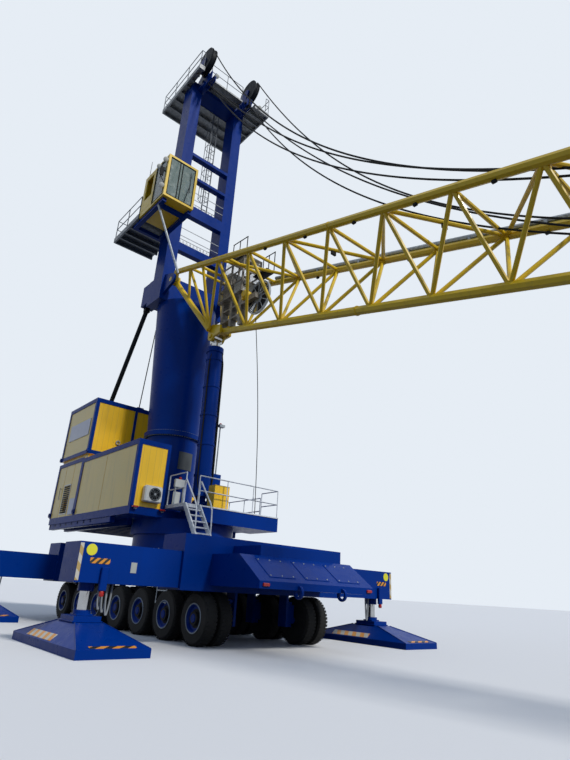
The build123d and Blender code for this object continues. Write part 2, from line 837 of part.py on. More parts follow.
with BuildPart() as boom:
    add(members)
    for sign in (-1, 1):
        inner = sign * (half_width(tip_axle_x) - tip_inset)
        with BuildSketch(Plane.XZ.offset(-inner - tip_plate / 2)):
            with BuildLine():
                Polyline((top_end_x - 100, top_z(top_end_x) + 60),
                         (tip_axle_x, tip_axle_z + tip_plate_rise),
                         (tip_axle_x + 90, tip_axle_z), (tip_axle_x, tip_axle_z - tip_plate_rise),
                         (low_end_x, low_z(low_end_x) - 60), (top_end_x - 100, top_z(top_end_x) + 60))
            make_face()
        extrude(amount=tip_plate)
        cheek = sign * (luff_eye_half + luff_lug_play + luff_lug / 2)
        with BuildSketch(Plane.XZ.offset(-cheek - luff_lug / 2)):
            with BuildLine():
                Polyline((luff_head_x - luff_lug_radius, luff_head_z), (luff_head_x, luff_head_z - 40),
                         (heel_tube_x + 60, low_z(heel_tube_x) - 90),
                         (heel_tube_x + 60, low_z(heel_tube_x) + 90),
                         (heel_x + 60, low_z(heel_x) + 110), (heel_x - 90, low_z(heel_x) + 110),
                         (luff_head_x - luff_lug_radius, luff_head_z))
            make_face()
            with Locations((luff_head_x, luff_head_z)):
                Circle(luff_lug_radius)
        extrude(amount=luff_lug)
        boss = Plane(origin=(luff_head_x, cheek, luff_head_z), z_dir=(0, sign, 0))
        with BuildSketch(boss):
            Circle(luff_pin_radius)
        extrude(amount=luff_lug / 2 + luff_boss)
    with BuildSketch(Plane.XZ):
        with Locations((heel_tube_x, low_z(heel_tube_x))):
            Circle(heel_tube_radius)
    extrude(amount=luff_eye_half + luff_lug_play + luff_lug, both=True)
    with BuildSketch(Plane.XZ):
        with Locations((low_end_x, low_z(low_end_x))):
            Circle(50)
    extrude(amount=half_width(tip_axle_x) - tip_inset, both=True)
    with BuildSketch(Plane.XZ):
        with Locations((tip_axle_x, tip_axle_z)):
            Circle(tip_axle_radius)
    extrude(amount=half_width(tip_axle_x) - tip_inset, both=True)
    with BuildSketch(Plane.XZ):
        with Locations((pivot_x, pivot_z)):
            Circle(pivot_pin_radius + root_tube)
    extrude(amount=boom_half_width + 46, both=True)
    with BuildSketch(Plane.XZ):
        with Locations((pivot_x, pivot_z)):
            Circle(pivot_pin_radius + root_tube + 1)
    extrude(amount=root_tube_bore_half, both=True, mode=Mode.SUBTRACT)
    for sign in (-1, 1):
        with BuildSketch(Plane(origin=(pivot_x, sign * boom_half_width, pivot_z), z_dir=(0, sign, 0))):
            Circle(pivot_pin_radius)
        extrude(amount=chord_radius + lug_play + lug_thickness)
finish(boom, "boom")

# Cable conduit on saddles along the left upper chord
with BuildPart() as conduit:
    chord_left = bar(top(root_x, 1), top(boom_taper_x, 1), chord_radius + ring_gap)
    chord_tip = bar(top(boom_taper_x, 1), top(top_end_x + 60, 1), chord_radius + ring_gap)
    for i in range(bays + 1):
        x = top_node_x - bay / 2 + i * bay
        z = top_z(x)
        y = half_width(x)
        block(x - saddle_half, x + saddle_half, y - conduit_radius, y + conduit_radius, z, z + conduit_lift)
    add([chord_left, chord_tip], mode=Mode.SUBTRACT)
    for start, end in ((conduit_start_x, boom_taper_x), (boom_taper_x, top_end_x - bay / 2 + 60)):
        add(bar((start, half_width(start), top_z(start) + conduit_lift),
                (end, half_width(end), top_z(end) + conduit_lift), conduit_radius))
finish(conduit, "boom_conduit")

with BuildPart() as tip_sheaves:
    with BuildSketch(Plane.XZ):
        with Locations((tip_axle_x, tip_axle_z)):
            Circle(tip_sheave_radius)
            Circle(tip_axle_radius + 1, mode=Mode.SUBTRACT)
    extrude(amount=tip_sheave_width / 2, both=True)
finish(tip_sheaves, "tip_sheaves")

with BuildPart() as hook:
    for y in (-fall_y, fall_y):
        add(bar((fall_x, y, tip_axle_z), (fall_x, y, hook_block_top - 10), fall_radius, 6))
    block(fall_x - hook_block_half_x, fall_x + hook_block_half_x, -hook_block_half_y, hook_block_half_y,
          hook_block_bottom, hook_block_top)
    with BuildSketch(Plane.XY.offset(hook_z + hook_throat + 20)):
        with Locations((fall_x, 0)):
            Circle(hook_shank_radius)
    extrude(amount=hook_block_bottom - hook_z - hook_throat - 10)
    with BuildSketch(Plane.XZ):
        with Locations((fall_x, hook_z)):
            Circle(hook_radius)
            Circle(hook_throat, mode=Mode.SUBTRACT)
            with Locations((-0.7 * hook_radius, 0.54 * hook_radius)):
                Rectangle(0.92 * hook_radius, 0.7 * hook_radius, mode=Mode.SUBTRACT)
    extrude(amount=hook_half_width, both=True)
finish(hook, "hook_block")

for side, sign in sides:
    with BuildPart() as sheave:
        centre = Plane.XZ.offset(-sign * head_sheave_y)
        with BuildSketch(centre):
            with Locations((head_sheave_x, head_sheave_z)):
                Circle(head_sheave_radius)
        extrude(amount=head_sheave_width / 2, both=True)
        with BuildSketch(centre):
            with Locations((head_sheave_x, head_sheave_z)):
                Circle(head_sheave_radius + 1)
                Circle(head_sheave_radius - groove_depth, mode=Mode.SUBTRACT)
        extrude(amount=head_sheave_width / 2 - sheave_flange, both=True, mode=Mode.SUBTRACT)
        with BuildSketch(centre):
            with Locations((head_sheave_x, head_sheave_z)):
                Circle(head_pin_radius + 1)
        extrude(amount=head_sheave_width, both=True, mode=Mode.SUBTRACT)
    finish(sheave, f"head_sheave_{side}")

# Mast head: cheek frames for the sheaves and the walkway around them
with BuildPart() as head_frame:
    for sign in (-1, 1):
        for offset in (-1, 1):
            y = sign * head_sheave_y + offset * (head_sheave_width / 2 + head_cheek_gap + head_cheek / 2)
            with BuildSketch(Plane.XZ.offset(-y - head_cheek / 2)):
                with BuildLine():
                    Polyline((head_cheek_foot_x[0], head_deck), (head_cheek_foot_x[1], head_deck),
                             (head_sheave_x + head_cheek_round, head_sheave_z),
                             (head_sheave_x, head_sheave_z + head_cheek_round),
                             (head_cheek_top_x, head_sheave_z), (head_cheek_foot_x[0], head_deck))
                make_face()
            extrude(amount=head_cheek)
        with BuildSketch(Plane.XZ.offset(-sign * head_sheave_y)):
            with Locations((head_sheave_x, head_sheave_z)):
                Circle(head_pin_radius)
        extrude(amount=head_sheave_width / 2 + head_cheek, both=True)
finish(head_frame, "head_sheave_frames")

with BuildPart() as head_deck_part:
    column_rear_x = column_front_x - column_depth
    block(head_rear_x, column_rear_x, head_right_y, head_left_y, head_deck - head_deck_thickness, head_deck)
    block(column_rear_x, head_front_x, head_right_y, -column_outer_y, head_deck - head_deck_thickness,
          head_deck)
    block(column_rear_x, head_front_x, column_outer_y, head_left_y, head_deck - head_deck_thickness,
          head_deck)
    block(column_rear_x, head_front_x - 200, -540, 540, head_deck, head_deck + head_deck_thickness)
    under = head_deck - head_deck_thickness
    for i in range(head_joists):
        x = head_rear_x + (column_rear_x - joist_width - head_rear_x) * i / (head_joists - 1)
        block(x, x + joist_width, head_right_y, head_left_y, under - joist_depth, under)
        x = column_rear_x + (head_front_x - joist_width - column_rear_x) * (i + 1) / head_joists
        block(x, x + joist_width, head_right_y, -column_outer_y - 4, under - joist_depth, under)
        block(x, x + joist_width, column_outer_y + 4, head_left_y, under - joist_depth, under)
    for y in (head_right_y, head_left_y - joist_width):
        block(head_rear_x, head_front_x, y, y + joist_width, under - joist_depth, under)
    ladder_top = under - joist_depth
    ladder_foot = mast_floors[1] + mast_floor
    rungs = []
    for side in (-1, 1):
        rungs.append(bar((ladder_x, ladder_y + side * ladder_half, ladder_foot),
                         (ladder_x, ladder_y + side * ladder_half, under + 1), 2 * ladder_rung, 4))
    for i in range(1, int((ladder_top - ladder_foot) / ladder_pitch)):
        z = ladder_foot + i * ladder_pitch
        rungs.append(bar((ladder_x, ladder_y - ladder_half, z), (ladder_x, ladder_y + ladder_half, z),
                         ladder_rung, 4))
    hoop = [(0, -ladder_half), (-0.6 * hoop_radius, -hoop_radius), (-1.8 * hoop_radius, -0.8 * hoop_radius),
            (-2.2 * hoop_radius, 0), (-1.8 * hoop_radius, 0.8 * hoop_radius),
            (-0.6 * hoop_radius, hoop_radius),
            (0, ladder_half)]
    hoops = int((ladder_top - ladder_foot - 900) / hoop_pitch)
    for i in range(hoops + 1):
        z = ladder_foot + 900 + i * hoop_pitch
        ring = [(ladder_x + dx, ladder_y + dy, z) for dx, dy in hoop]
        rungs += [bar(a, b, ladder_rung, 4) for a, b in zip(ring, ring[1:])]
    for dx, dy in hoop[2:5]:
        rungs.append(bar((ladder_x + dx, ladder_y + dy, ladder_foot + 900),
                         (ladder_x + dx, ladder_y + dy,
                          ladder_foot + 900 + hoops * hoop_pitch), ladder_rung, 4))
    add(rungs)
    front = head_front_x - 220
    add(railing([(front, -520, head_deck + head_deck_thickness),
                 (front, 520, head_deck + head_deck_thickness)],
                rail_height, 520))
    for y, turn in ((head_right_y + 20, 1), (head_left_y - 20, -1)):
        add(railing([(head_front_x - 20, y, head_deck), (head_front_x - 20, y + turn * 110, head_deck)],
                    rail_height, 200))
    rails = railing([(head_front_x - 20, head_right_y + 20, head_deck),
                     (head_rear_x + 20, head_right_y + 20, head_deck),
                     (head_rear_x + 20, head_left_y - 20, head_deck),
                     (head_front_x - 20, head_left_y - 20, head_deck)],
                    rail_height, 700)
    add(rails)
finish(head_deck_part, "head_walkway")

# Cab
with BuildPart() as cab:
    block(cab_rear_x, cab_front_x, cab_outer_y, cab_inner_y, cab_floor, cab_roof)
    block(cab_rear_x + cab_wall, cab_front_x - cab_wall, cab_outer_y + cab_wall, cab_inner_y - cab_wall,
          cab_floor + cab_wall, cab_roof - cab_wall, mode=Mode.SUBTRACT)
    sill = cab_floor + cab_post
    lintel = cab_roof - cab_post
    block(cab_front_x - cab_wall - 1, cab_front_x + 1, cab_outer_y + cab_post, cab_inner_y - cab_post,
          sill, lintel, mode=Mode.SUBTRACT)
    block(cab_door_front_x + cab_post, cab_front_x - cab_post, cab_outer_y - 1, cab_outer_y + cab_wall + 1,
          sill, lintel, mode=Mode.SUBTRACT)
    block(cab_door_front_x + cab_post, cab_front_x - cab_post, cab_inner_y - cab_wall - 1, cab_inner_y + 1,
          sill, lintel, mode=Mode.SUBTRACT)
    block(cab_rear_x + cab_post - hinge_play, cab_door_front_x + door_gap, cab_outer_y - 1,
          cab_outer_y + cab_wall + 1, cab_deck_level, lintel, mode=Mode.SUBTRACT)
finish(cab, "cab_shell")

with BuildPart() as cab_door:
    block(cab_rear_x + cab_post, cab_door_front_x, cab_outer_y, cab_outer_y + cab_wall,
          cab_deck_level + door_gap, lintel - door_gap)
    block(cab_rear_x + cab_post + 50, cab_door_front_x - 50, cab_outer_y - 1, cab_outer_y + cab_wall + 1,
          cab_floor + 420, lintel - door_gap - 50, mode=Mode.SUBTRACT)
finish(cab_door, "cab_door")

with BuildPart() as cab_glass:
    block(cab_front_x - cab_wall / 2 - glass / 2, cab_front_x - cab_wall / 2 + glass / 2,
          cab_outer_y + cab_post, cab_inner_y - cab_post, sill, lintel)
    for y in (cab_outer_y + cab_wall / 2, cab_inner_y - cab_wall / 2):
        block(cab_door_front_x + cab_post, cab_front_x - cab_post, y - glass / 2, y + glass / 2, sill,
              lintel)
finish(cab_glass, "cab_glass")

with BuildPart() as cab_seat:
    seat_y = (cab_outer_y + cab_inner_y) / 2
    block(-480, -220, seat_y - seat_width / 2, seat_y + seat_width / 2, cab_floor + cab_wall,
          cab_floor + 260)
    block(-540, -460, seat_y - seat_width / 2, seat_y + seat_width / 2, cab_floor + 240, cab_floor + 620)
    for sign in (-1, 1):
        block(-440, -100, seat_y + sign * armrest_y - 50, seat_y + sign * armrest_y + 50,
              cab_floor + cab_wall, cab_floor + 380)
finish(cab_seat, "cab_seat")

with BuildPart() as cab_deck:
    column_rear_x = column_front_x - column_depth
    deck_bottom = cab_deck_level - cab_deck_thickness
    block(cab_deck_rear_x, cab_rear_x - 8, cab_deck_outer_y, cab_deck_inner_y, deck_bottom, cab_deck_level)
    block(cab_deck_rear_x, column_rear_x, cab_deck_inner_y, cab_deck_rear_inner_y, deck_bottom,
          cab_deck_level)
    for i in range(cab_joists):
        x = cab_deck_rear_x + (column_rear_x - 150 - cab_deck_rear_x) * i / (cab_joists - 1)
        block(x, x + joist_width, cab_deck_outer_y, cab_deck_rear_inner_y, deck_bottom - joist_depth,
              deck_bottom)
    block(cab_deck_rear_x, cab_rear_x - 8, cab_deck_outer_y, cab_deck_outer_y + joist_width,
          deck_bottom - joist_depth, deck_bottom)
    add(railing([(cab_rear_x - 30, cab_deck_outer_y + 20, cab_deck_level),
                 (cab_deck_rear_x + 20, cab_deck_outer_y + 20, cab_deck_level),
                 (cab_deck_rear_x + 20, cab_deck_rear_inner_y - 20, cab_deck_level)], rail_height, 600))
finish(cab_deck, "cab_walkway")

# Service cage and cable reel in the boom's root
chord_lift = lower_chord_radius * hypot(1, lower_slope) + runner_play
stand_rear = cage_rear_x + cage_stand_inset
stand_front = cage_front_x - cage_stand_inset
cage_middle = (cage_rear_x + cage_front_x) / 2


def roof(x):
    return cage_top_z - top_slope * (x - cage_rear_x)


with BuildPart() as cage:
    block(cage_rear_x, cage_front_x, cage_right_y, cage_left_y, cage_floor_z, cage_floor_z + cage_plate)
    with BuildSketch(Plane.XZ.offset(-cage_left_y)):
        with BuildLine():
            Polyline((cage_rear_x, cage_top_z - cage_plate),
                     (cage_front_x, roof(cage_front_x) - cage_plate),
                     (cage_front_x, roof(cage_front_x)), (cage_rear_x, cage_top_z),
                     (cage_rear_x, cage_top_z - cage_plate))
        make_face()
    extrude(amount=cage_left_y - cage_right_y)
    for x in (cage_rear_x, cage_middle - cage_post / 2, cage_front_x - cage_post):
        for y in (cage_right_y, cage_left_y - cage_post):
            block(x, x + cage_post, y, y + cage_post, cage_floor_z, roof(x + cage_post) - 1)
    for z in cage_rails_z:
        for y in (cage_right_y, cage_left_y - cage_post / 2):
            block(cage_rear_x, cage_front_x, y, y + cage_post / 2, z, z + cage_post)
        for x in (cage_rear_x, cage_front_x - cage_post / 2):
            block(x, x + cage_post / 2, cage_right_y, cage_left_y, z, z + cage_post)
    block(cage_rear_x + 80, cage_middle, cage_right_y + 60, cage_left_y - 60, cage_floor_z, cage_box_top)
    for x in (stand_rear, cage_middle - cage_post, stand_front - 2 * cage_post):
        with BuildSketch(Plane.XZ.offset(-cage_stand_half)):
            with BuildLine():
                Polyline((x, low_z(x) + chord_lift),
                         (x + 2 * cage_post, low_z(x + 2 * cage_post) + chord_lift),
                         (x + 2 * cage_post, cage_floor_z), (x, cage_floor_z), (x, low_z(x) + chord_lift))
            make_face()
        extrude(amount=2 * cage_stand_half)
    for z in cage_braces_z:
        block(stand_rear, stand_front, -cage_stand_half, cage_stand_half, z, z + cage_post)
    block(stand_front - 60, reel_x + 60, -cage_stand_half, reel_y - reel_half_width - 20, reel_z - 60,
          reel_z + 60)
    with BuildSketch(Plane(origin=(reel_x, 0, reel_z), z_dir=(0, 1, 0))):
        Circle(reel_pin_radius)
    extrude(amount=reel_y + reel_half_width)
finish(cage, "service_cage")

with BuildPart() as reel:
    with BuildSketch(Plane.XZ.offset(-reel_y)):
        with Locations((reel_x, reel_z)):
            Circle(reel_radius)
            Circle(reel_radius - reel_rim, mode=Mode.SUBTRACT)
            Circle(reel_hub)
    extrude(amount=reel_half_width, both=True)
    with BuildSketch(Plane.XZ.offset(-reel_y)):
        with Locations((reel_x, reel_z)):
            with PolarLocations(0, reel_spokes // 2, angular_range=180):
                Rectangle(2 * reel_radius - reel_rim, 2 * reel_spoke)
    extrude(amount=reel_half_width - reel_spoke, both=True)
    with BuildSketch(Plane.XZ.offset(-reel_y)):
        with Locations((reel_x, reel_z)):
            Circle(reel_pin_radius + runner_play)
    extrude(amount=2 * reel_half_width, both=True, mode=Mode.SUBTRACT)
finish(reel, "cable_reel")

# Deck rails, stair and landing on the front girder
with BuildPart() as deck_rails:
    rail_x = deck_front_x - rail_inset
    rail_y = house_half_width - rail_inset
    add(railing([(rail_x, deck_near_y + rail_inset, deck_level), (rail_x, rail_y, deck_level),
                 (house_front_x + rail_inset, rail_y, deck_level)], rail_height, 600))
    add(railing([(house_front_x - rail_inset, rail_y, base_top),
                 (left_house_front_x + 2 * rail_inset, rail_y, base_top)], rail_height, 600))
    add(railing([(house_front_x + rail_inset, landing_near_y + rail_inset, deck_level),
                 (landing_front_x - rail_inset, landing_near_y + rail_inset, deck_level)],
                rail_height, 600))
finish(deck_rails, "deck_rails")

with BuildPart() as stair:
    block(house_front_x, landing_front_x, landing_near_y, deck_near_y, deck_level - landing_thickness,
          deck_level)
    fall = (deck_level - stair_bottom) / (stair_steps + 1)
    for y in (landing_near_y, deck_near_y - stringer):
        with BuildSketch(Plane.XZ.offset(-y - stringer)):
            with BuildLine():
                Polyline((landing_front_x - 40, deck_level),
                         (landing_front_x - 40 + stringer_width, deck_level),
                         (landing_front_x - 40 + stair_run + stringer_width, stair_bottom),
                         (landing_front_x - 40 + stair_run, stair_bottom),
                         (landing_front_x - 40, deck_level))
            make_face()
        extrude(amount=stringer)
    for step in range(1, stair_steps + 1):
        x = landing_front_x - 40 + stringer_width / 2 + stair_run * step / (stair_steps + 1)
        z = deck_level - fall * step
        block(x - stair_tread / 2, x + stair_tread / 2, landing_near_y, deck_near_y,
              z - stair_tread_thickness, z)
finish(stair, "access_stair")
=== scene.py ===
import bmesh, bpy, json, math
import numpy as np
from mathutils import Matrix, Vector


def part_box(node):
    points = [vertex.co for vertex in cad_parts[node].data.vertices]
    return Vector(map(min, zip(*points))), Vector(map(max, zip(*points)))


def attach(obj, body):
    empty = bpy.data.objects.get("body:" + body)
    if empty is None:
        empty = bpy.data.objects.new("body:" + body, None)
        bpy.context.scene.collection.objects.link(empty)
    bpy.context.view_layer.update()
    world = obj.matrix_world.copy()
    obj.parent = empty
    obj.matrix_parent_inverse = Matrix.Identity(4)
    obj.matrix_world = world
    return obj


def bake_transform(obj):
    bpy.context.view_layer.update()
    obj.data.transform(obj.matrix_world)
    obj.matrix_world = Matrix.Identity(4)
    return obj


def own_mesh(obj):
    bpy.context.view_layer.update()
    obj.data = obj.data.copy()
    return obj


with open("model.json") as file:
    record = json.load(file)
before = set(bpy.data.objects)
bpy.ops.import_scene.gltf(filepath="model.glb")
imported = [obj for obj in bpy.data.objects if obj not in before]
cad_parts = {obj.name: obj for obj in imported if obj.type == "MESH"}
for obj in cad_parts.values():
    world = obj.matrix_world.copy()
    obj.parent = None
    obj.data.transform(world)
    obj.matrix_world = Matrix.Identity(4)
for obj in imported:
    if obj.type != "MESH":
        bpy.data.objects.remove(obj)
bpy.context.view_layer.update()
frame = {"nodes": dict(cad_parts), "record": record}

# ---------------------------------------------------------------- camera
CAMERA_PLACE = (9.24, -5.355, 0.74)      # metres of the half-size model
YAW, PITCH, ROLL = math.radians(140.35), math.radians(21.61), math.radians(3.37)
FOCAL_PIXELS, PICTURE_WIDTH = 534.2, 570     # both in pixels
SENSOR_WIDTH = 36                            # millimetres


def add_camera():
    """The photograph's viewpoint: eye height, looking up and slightly tilted."""
    ahead = Vector((math.cos(YAW) * math.cos(PITCH), math.sin(YAW) * math.cos(PITCH), math.sin(PITCH)))
    level = Vector((math.sin(YAW), -math.cos(YAW), 0))
    upright = level.cross(ahead)
    right = level * math.cos(ROLL) + upright * math.sin(ROLL)
    up = upright * math.cos(ROLL) - level * math.sin(ROLL)
    data = bpy.data.cameras.new("camera")
    data.sensor_fit = "HORIZONTAL"
    data.sensor_width = SENSOR_WIDTH
    data.lens = FOCAL_PIXELS / PICTURE_WIDTH * SENSOR_WIDTH
    data.clip_end = 500
    camera = bpy.data.objects.new("camera", data)
    turn = Matrix((right, up, -ahead)).transposed().to_4x4()
    camera.matrix_world = Matrix.Translation(CAMERA_PLACE) @ turn
    bpy.context.scene.collection.objects.link(camera)
    bpy.context.scene.camera = camera


add_camera()

# ---------------------------------------------------------------- colours and nodes


def linear(hex_code):
    """An sRGB hex colour as linear RGBA."""
    parts = [int(hex_code[i:i + 2], 16) / 255 for i in (0, 2, 4)]
    return tuple([p / 12.92 if p <= 0.04045 else ((p + 0.055) / 1.055) ** 2.4 for p in parts] + [1.0])


def node(tree, kind, settings=None, **links):
    """Adds one node: settings are its own values, links its inputs, given as sockets or values."""
    made = tree.nodes.new(kind)
    for key, value in (settings or {}).items():
        setattr(made, key, value)
    for key, value in links.items():
        spot = made.inputs[int(key[1:])] if key[0] == "i" and key[1:].isdigit() else made.inputs[key.replace("_", " ")]
        if isinstance(value, bpy.types.NodeSocket):
            tree.links.new(value, spot)
        else:
            spot.default_value = value
    return made


def start(name):
    """An empty material and its object-space place in metres."""
    material = bpy.data.materials.new(name)
    material.use_nodes = True
    material.node_tree.nodes.clear()
    return material, material.node_tree, node(material.node_tree, "ShaderNodeTexCoord").outputs["Object"]


def noise(t, place, scale, detail, rough=0.5):
    """A cloudy value between 0 and 1."""
    return node(t, "ShaderNodeTexNoise", Vector=place, Scale=scale, Detail=detail, Roughness=rough).outputs["Fac"]


def mixed(t, share, first, second):
    """The colour at a share of the way between two, each a hex code or a socket."""
    a, b = (linear(colour) if isinstance(colour, str) else colour for colour in (first, second))
    return node(t, "ShaderNodeMix", {"data_type": "RGBA"}, i0=share, i6=a, i7=b).outputs[2]


def ranged(t, value, low, high, least, most):
    """A value carried from one range to another."""
    return node(t, "ShaderNodeMapRange", i0=value, i1=low, i2=high, i3=least, i4=most).outputs[0]


def finished(material, **values):
    """The material with its one shader on the output."""
    shader = node(material.node_tree, "ShaderNodeBsdfPrincipled", **values)
    node(material.node_tree, "ShaderNodeOutputMaterial", Surface=shader.outputs[0])
    return material


FADED = 0.7                                  # metres across a faded patch


def paint(name, base, shade, rough=0.3, dirt="2E2A25", dirt_share=0.2, coat=0.4, glint=0.25):
    """Two-pack machine paint sprayed over plate. The eye sees a gloss film with slight orange peel, broad faded
    patches, grime washed down the faces and a duller, greyer skin where the fine dust has stayed."""
    material, t, place = start(name)
    broad = noise(t, place, 1 / FADED, 4.0, 0.6)
    fine = noise(t, place, 9.0, 3.0, 0.5)
    space = node(t, "ShaderNodeMapping", Vector=place, Scale=(11.0, 11.0, 0.6)).outputs[0]
    streak = noise(t, space, 1.0, 6.0, 0.62)
    body = mixed(t, broad, base, shade)
    runs = ranged(t, streak, 0.54, 0.8, 0.0, dirt_share)
    soiled = mixed(t, runs, body, dirt)
    dull = ranged(t, fine, 0.3, 0.7, rough - 0.04, rough + 0.08)
    peel = noise(t, place, 160.0, 2.0)
    wave = node(t, "ShaderNodeBump", Strength=0.08, Distance=0.001, Height=fine).outputs[0]
    skin = node(t, "ShaderNodeBump", Strength=0.2, Distance=0.0004, Height=peel, Normal=wave).outputs[0]
    return finished(material, Base_Color=soiled, Roughness=dull, Normal=skin,
                    Coat_Weight=coat, Coat_Roughness=0.12, Specular_IOR_Level=glint)


def zinc(name, base, shade, metallic):
    """Hot-dip galvanised steel. The eye sees spangle: grey crystals a few centimetres across, each a slightly
    different tone and gloss, with white bloom and dirt in the low places."""
    material, t, place = start(name)
    crystal = node(t, "ShaderNodeTexVoronoi", Vector=place, Scale=24.0).outputs["Color"]
    tone = node(t, "ShaderNodeSeparateColor", Color=crystal).outputs[0]
    bloom = noise(t, place, 3.0, 6.0, 0.7)
    body = mixed(t, tone, base, shade)
    spots = ranged(t, bloom, 0.5, 0.75, 0.0, 0.5)
    aged = mixed(t, spots, body, "5A564F")
    dull = ranged(t, tone, 0.0, 1.0, 0.32, 0.54)
    wave = node(t, "ShaderNodeBump", Strength=0.25, Distance=0.001, Height=bloom).outputs[0]
    return finished(material, Base_Color=aged, Roughness=dull, Normal=wave, Metallic=metallic)


def rubber(name, base, dust):
    """Vulcanised tyre rubber, moulded. The eye sees a deep matt black gone grey with dried dust on the sidewall,
    fine radial mould lines and small scuffs."""
    material, t, place = start(name)
    fine = noise(t, place, 40.0, 6.0, 0.7)
    broad = noise(t, place, 2.2, 4.0)
    share = ranged(t, broad, 0.4, 0.7, 0.05, 0.45)
    body = mixed(t, share, base, dust)
    wave = node(t, "ShaderNodeBump", Strength=0.4, Distance=0.002, Height=fine).outputs[0]
    dull = ranged(t, fine, 0.0, 1.0, 0.65, 0.9)
    return finished(material, Base_Color=body, Roughness=dull, Normal=wave, Specular_IOR_Level=0.2)


def hard_chrome(name):
    """Ground and plated rod. The eye sees a mirror drawn into faint rings by the seals, with an oily bloom."""
    material, t, place = start(name)
    space = node(t, "ShaderNodeMapping", Vector=place, Scale=(1.0, 1.0, 60.0)).outputs[0]
    rings = noise(t, space, 4.0, 3.0)
    oil = noise(t, place, 5.0, 4.0)
    body = mixed(t, oil, "C9CCD0", "8F8B84")
    dull = ranged(t, rings, 0.0, 1.0, 0.08, 0.3)
    return finished(material, Base_Color=body, Roughness=dull, Metallic=1.0)


def tinted_glass(name):
    """Laminated cab glass. The eye sees the sky in it over a green-grey dark, with dried water marks."""
    material, t, place = start(name)
    marks = noise(t, place, 9.0, 7.0, 0.7)
    dull = ranged(t, marks, 0.45, 0.75, 0.03, 0.3)
    film = mixed(t, marks, "6F8482", "8A9A95")
    return finished(material, Base_Color=film, Roughness=dull, Alpha=0.55, Specular_IOR_Level=0.8)


def woven(name, base, thread):
    """Upholstery cloth. The eye sees a two-tone basket weave a few millimetres wide with a soft sheen."""
    material, t, place = start(name)
    warp = node(t, "ShaderNodeTexWave", {"bands_direction": "X"}, Vector=place, Scale=130.0).outputs["Fac"]
    weft = node(t, "ShaderNodeTexWave", {"bands_direction": "Z"}, Vector=place, Scale=130.0).outputs["Fac"]
    cross = node(t, "ShaderNodeMath", {"operation": "MULTIPLY"}, i0=warp, i1=weft).outputs[0]
    body = mixed(t, cross, base, thread)
    wave = node(t, "ShaderNodeBump", Strength=0.5, Distance=0.001, Height=cross).outputs[0]
    return finished(material, Base_Color=body, Roughness=0.85, Normal=wave, Sheen_Weight=0.3)


def stripes(name, first, second, pitch, axis):
    """Warning tape: slanting bars of two colours with scuffed edges. The eye sees worn, slightly ragged bars."""
    material, t, place = start(name)
    turned = node(t, "ShaderNodeVectorMath", {"operation": "DOT_PRODUCT"}, i0=place, i1=axis).outputs["Value"]
    rough_edge = noise(t, place, 30.0, 4.0)
    shifted = node(t, "ShaderNodeMath", {"operation": "MULTIPLY_ADD"}, i0=rough_edge, i1=0.012, i2=turned).outputs[0]
    wrapped = node(t, "ShaderNodeMath", {"operation": "PINGPONG"}, i0=shifted, i1=pitch).outputs[0]
    pick = node(t, "ShaderNodeMath", {"operation": "GREATER_THAN"}, i0=wrapped, i1=pitch / 2).outputs[0]
    body = mixed(t, pick, first, second)
    return finished(material, Base_Color=body, Roughness=0.45)


def strand(name, base, shine, lay):
    """Stranded wire rope under grease. The eye sees a near-black line broken by a fine slanting twist."""
    material, t, place = start(name)
    slant = node(t, "ShaderNodeVectorMath", {"operation": "DOT_PRODUCT"}, i0=place, i1=(1.0, 0.4, 1.0))
    twist = node(t, "ShaderNodeMath", {"operation": "PINGPONG"}, i0=slant.outputs["Value"], i1=lay).outputs[0]
    share = ranged(t, twist, 0.0, lay, 0.0, 1.0)
    body = mixed(t, share, base, shine)
    return finished(material, Base_Color=body, Roughness=0.7, Specular_IOR_Level=0.15)


def profiled_sheet(name, lit, flank_sky_reflection, line):
    """Painted sandwich panels of the houses. The eye sees shallow upright grooves every 120 mm, each drawn with a
    darker line of painted shade, and a clean yellow on the faces towards the boom and the rear. On the long sides it
    sees a patchy pale cream, which is a painted reflection of the bright sky at a grazing angle."""
    material, t, place = start(name)
    split = node(t, "ShaderNodeSeparateXYZ", Vector=place)
    turned_sum = node(t, "ShaderNodeMath", {"operation": "ADD"}, i0=split.outputs[0], i1=split.outputs[1]).outputs[0]
    groove = node(t, "ShaderNodeMath", {"operation": "PINGPONG"}, i0=turned_sum, i1=0.06).outputs[0]
    edge = ranged(t, groove, 0.0, 0.006, 0.0, 1.0)
    # Painted reflection: faces whose normal points along Y, the long sides, turn a pale cream that stands for the
    # bright sky mirrored at a grazing angle. The cloudy noise (bloom) makes its strength patchy.
    normal = node(t, "ShaderNodeTexCoord").outputs["Normal"]
    across = node(t, "ShaderNodeSeparateXYZ", Vector=normal).outputs[1]
    sky_reflection_facing = node(t, "ShaderNodeMath", {"operation": "ABSOLUTE"}, i0=across).outputs[0]
    cloud = noise(t, place, 1.6, 5.0, 0.6)
    bloom = ranged(t, cloud, 0.3, 0.7, 0.75, 1.0)
    share = node(t, "ShaderNodeMath", {"operation": "MULTIPLY"}, i0=sky_reflection_facing, i1=bloom).outputs[0]
    body = mixed(t, share, lit, flank_sky_reflection)
    space = node(t, "ShaderNodeMapping", Vector=place, Scale=(9.0, 9.0, 0.7)).outputs[0]
    runs = noise(t, space, 1.0, 6.0, 0.6)
    wet = ranged(t, runs, 0.55, 0.8, 0.0, 0.35)
    stained = mixed(t, wet, body, "6B6240")
    # Painted shade: each groove gets the darker line colour, which stands for the shade inside the recess.
    lined = mixed(t, edge, line, stained)
    raised = node(t, "ShaderNodeBump", Strength=0.5, Distance=0.002, Height=edge).outputs[0]
    return finished(material, Base_Color=lined, Roughness=0.34, Normal=raised, Coat_Weight=0.12)


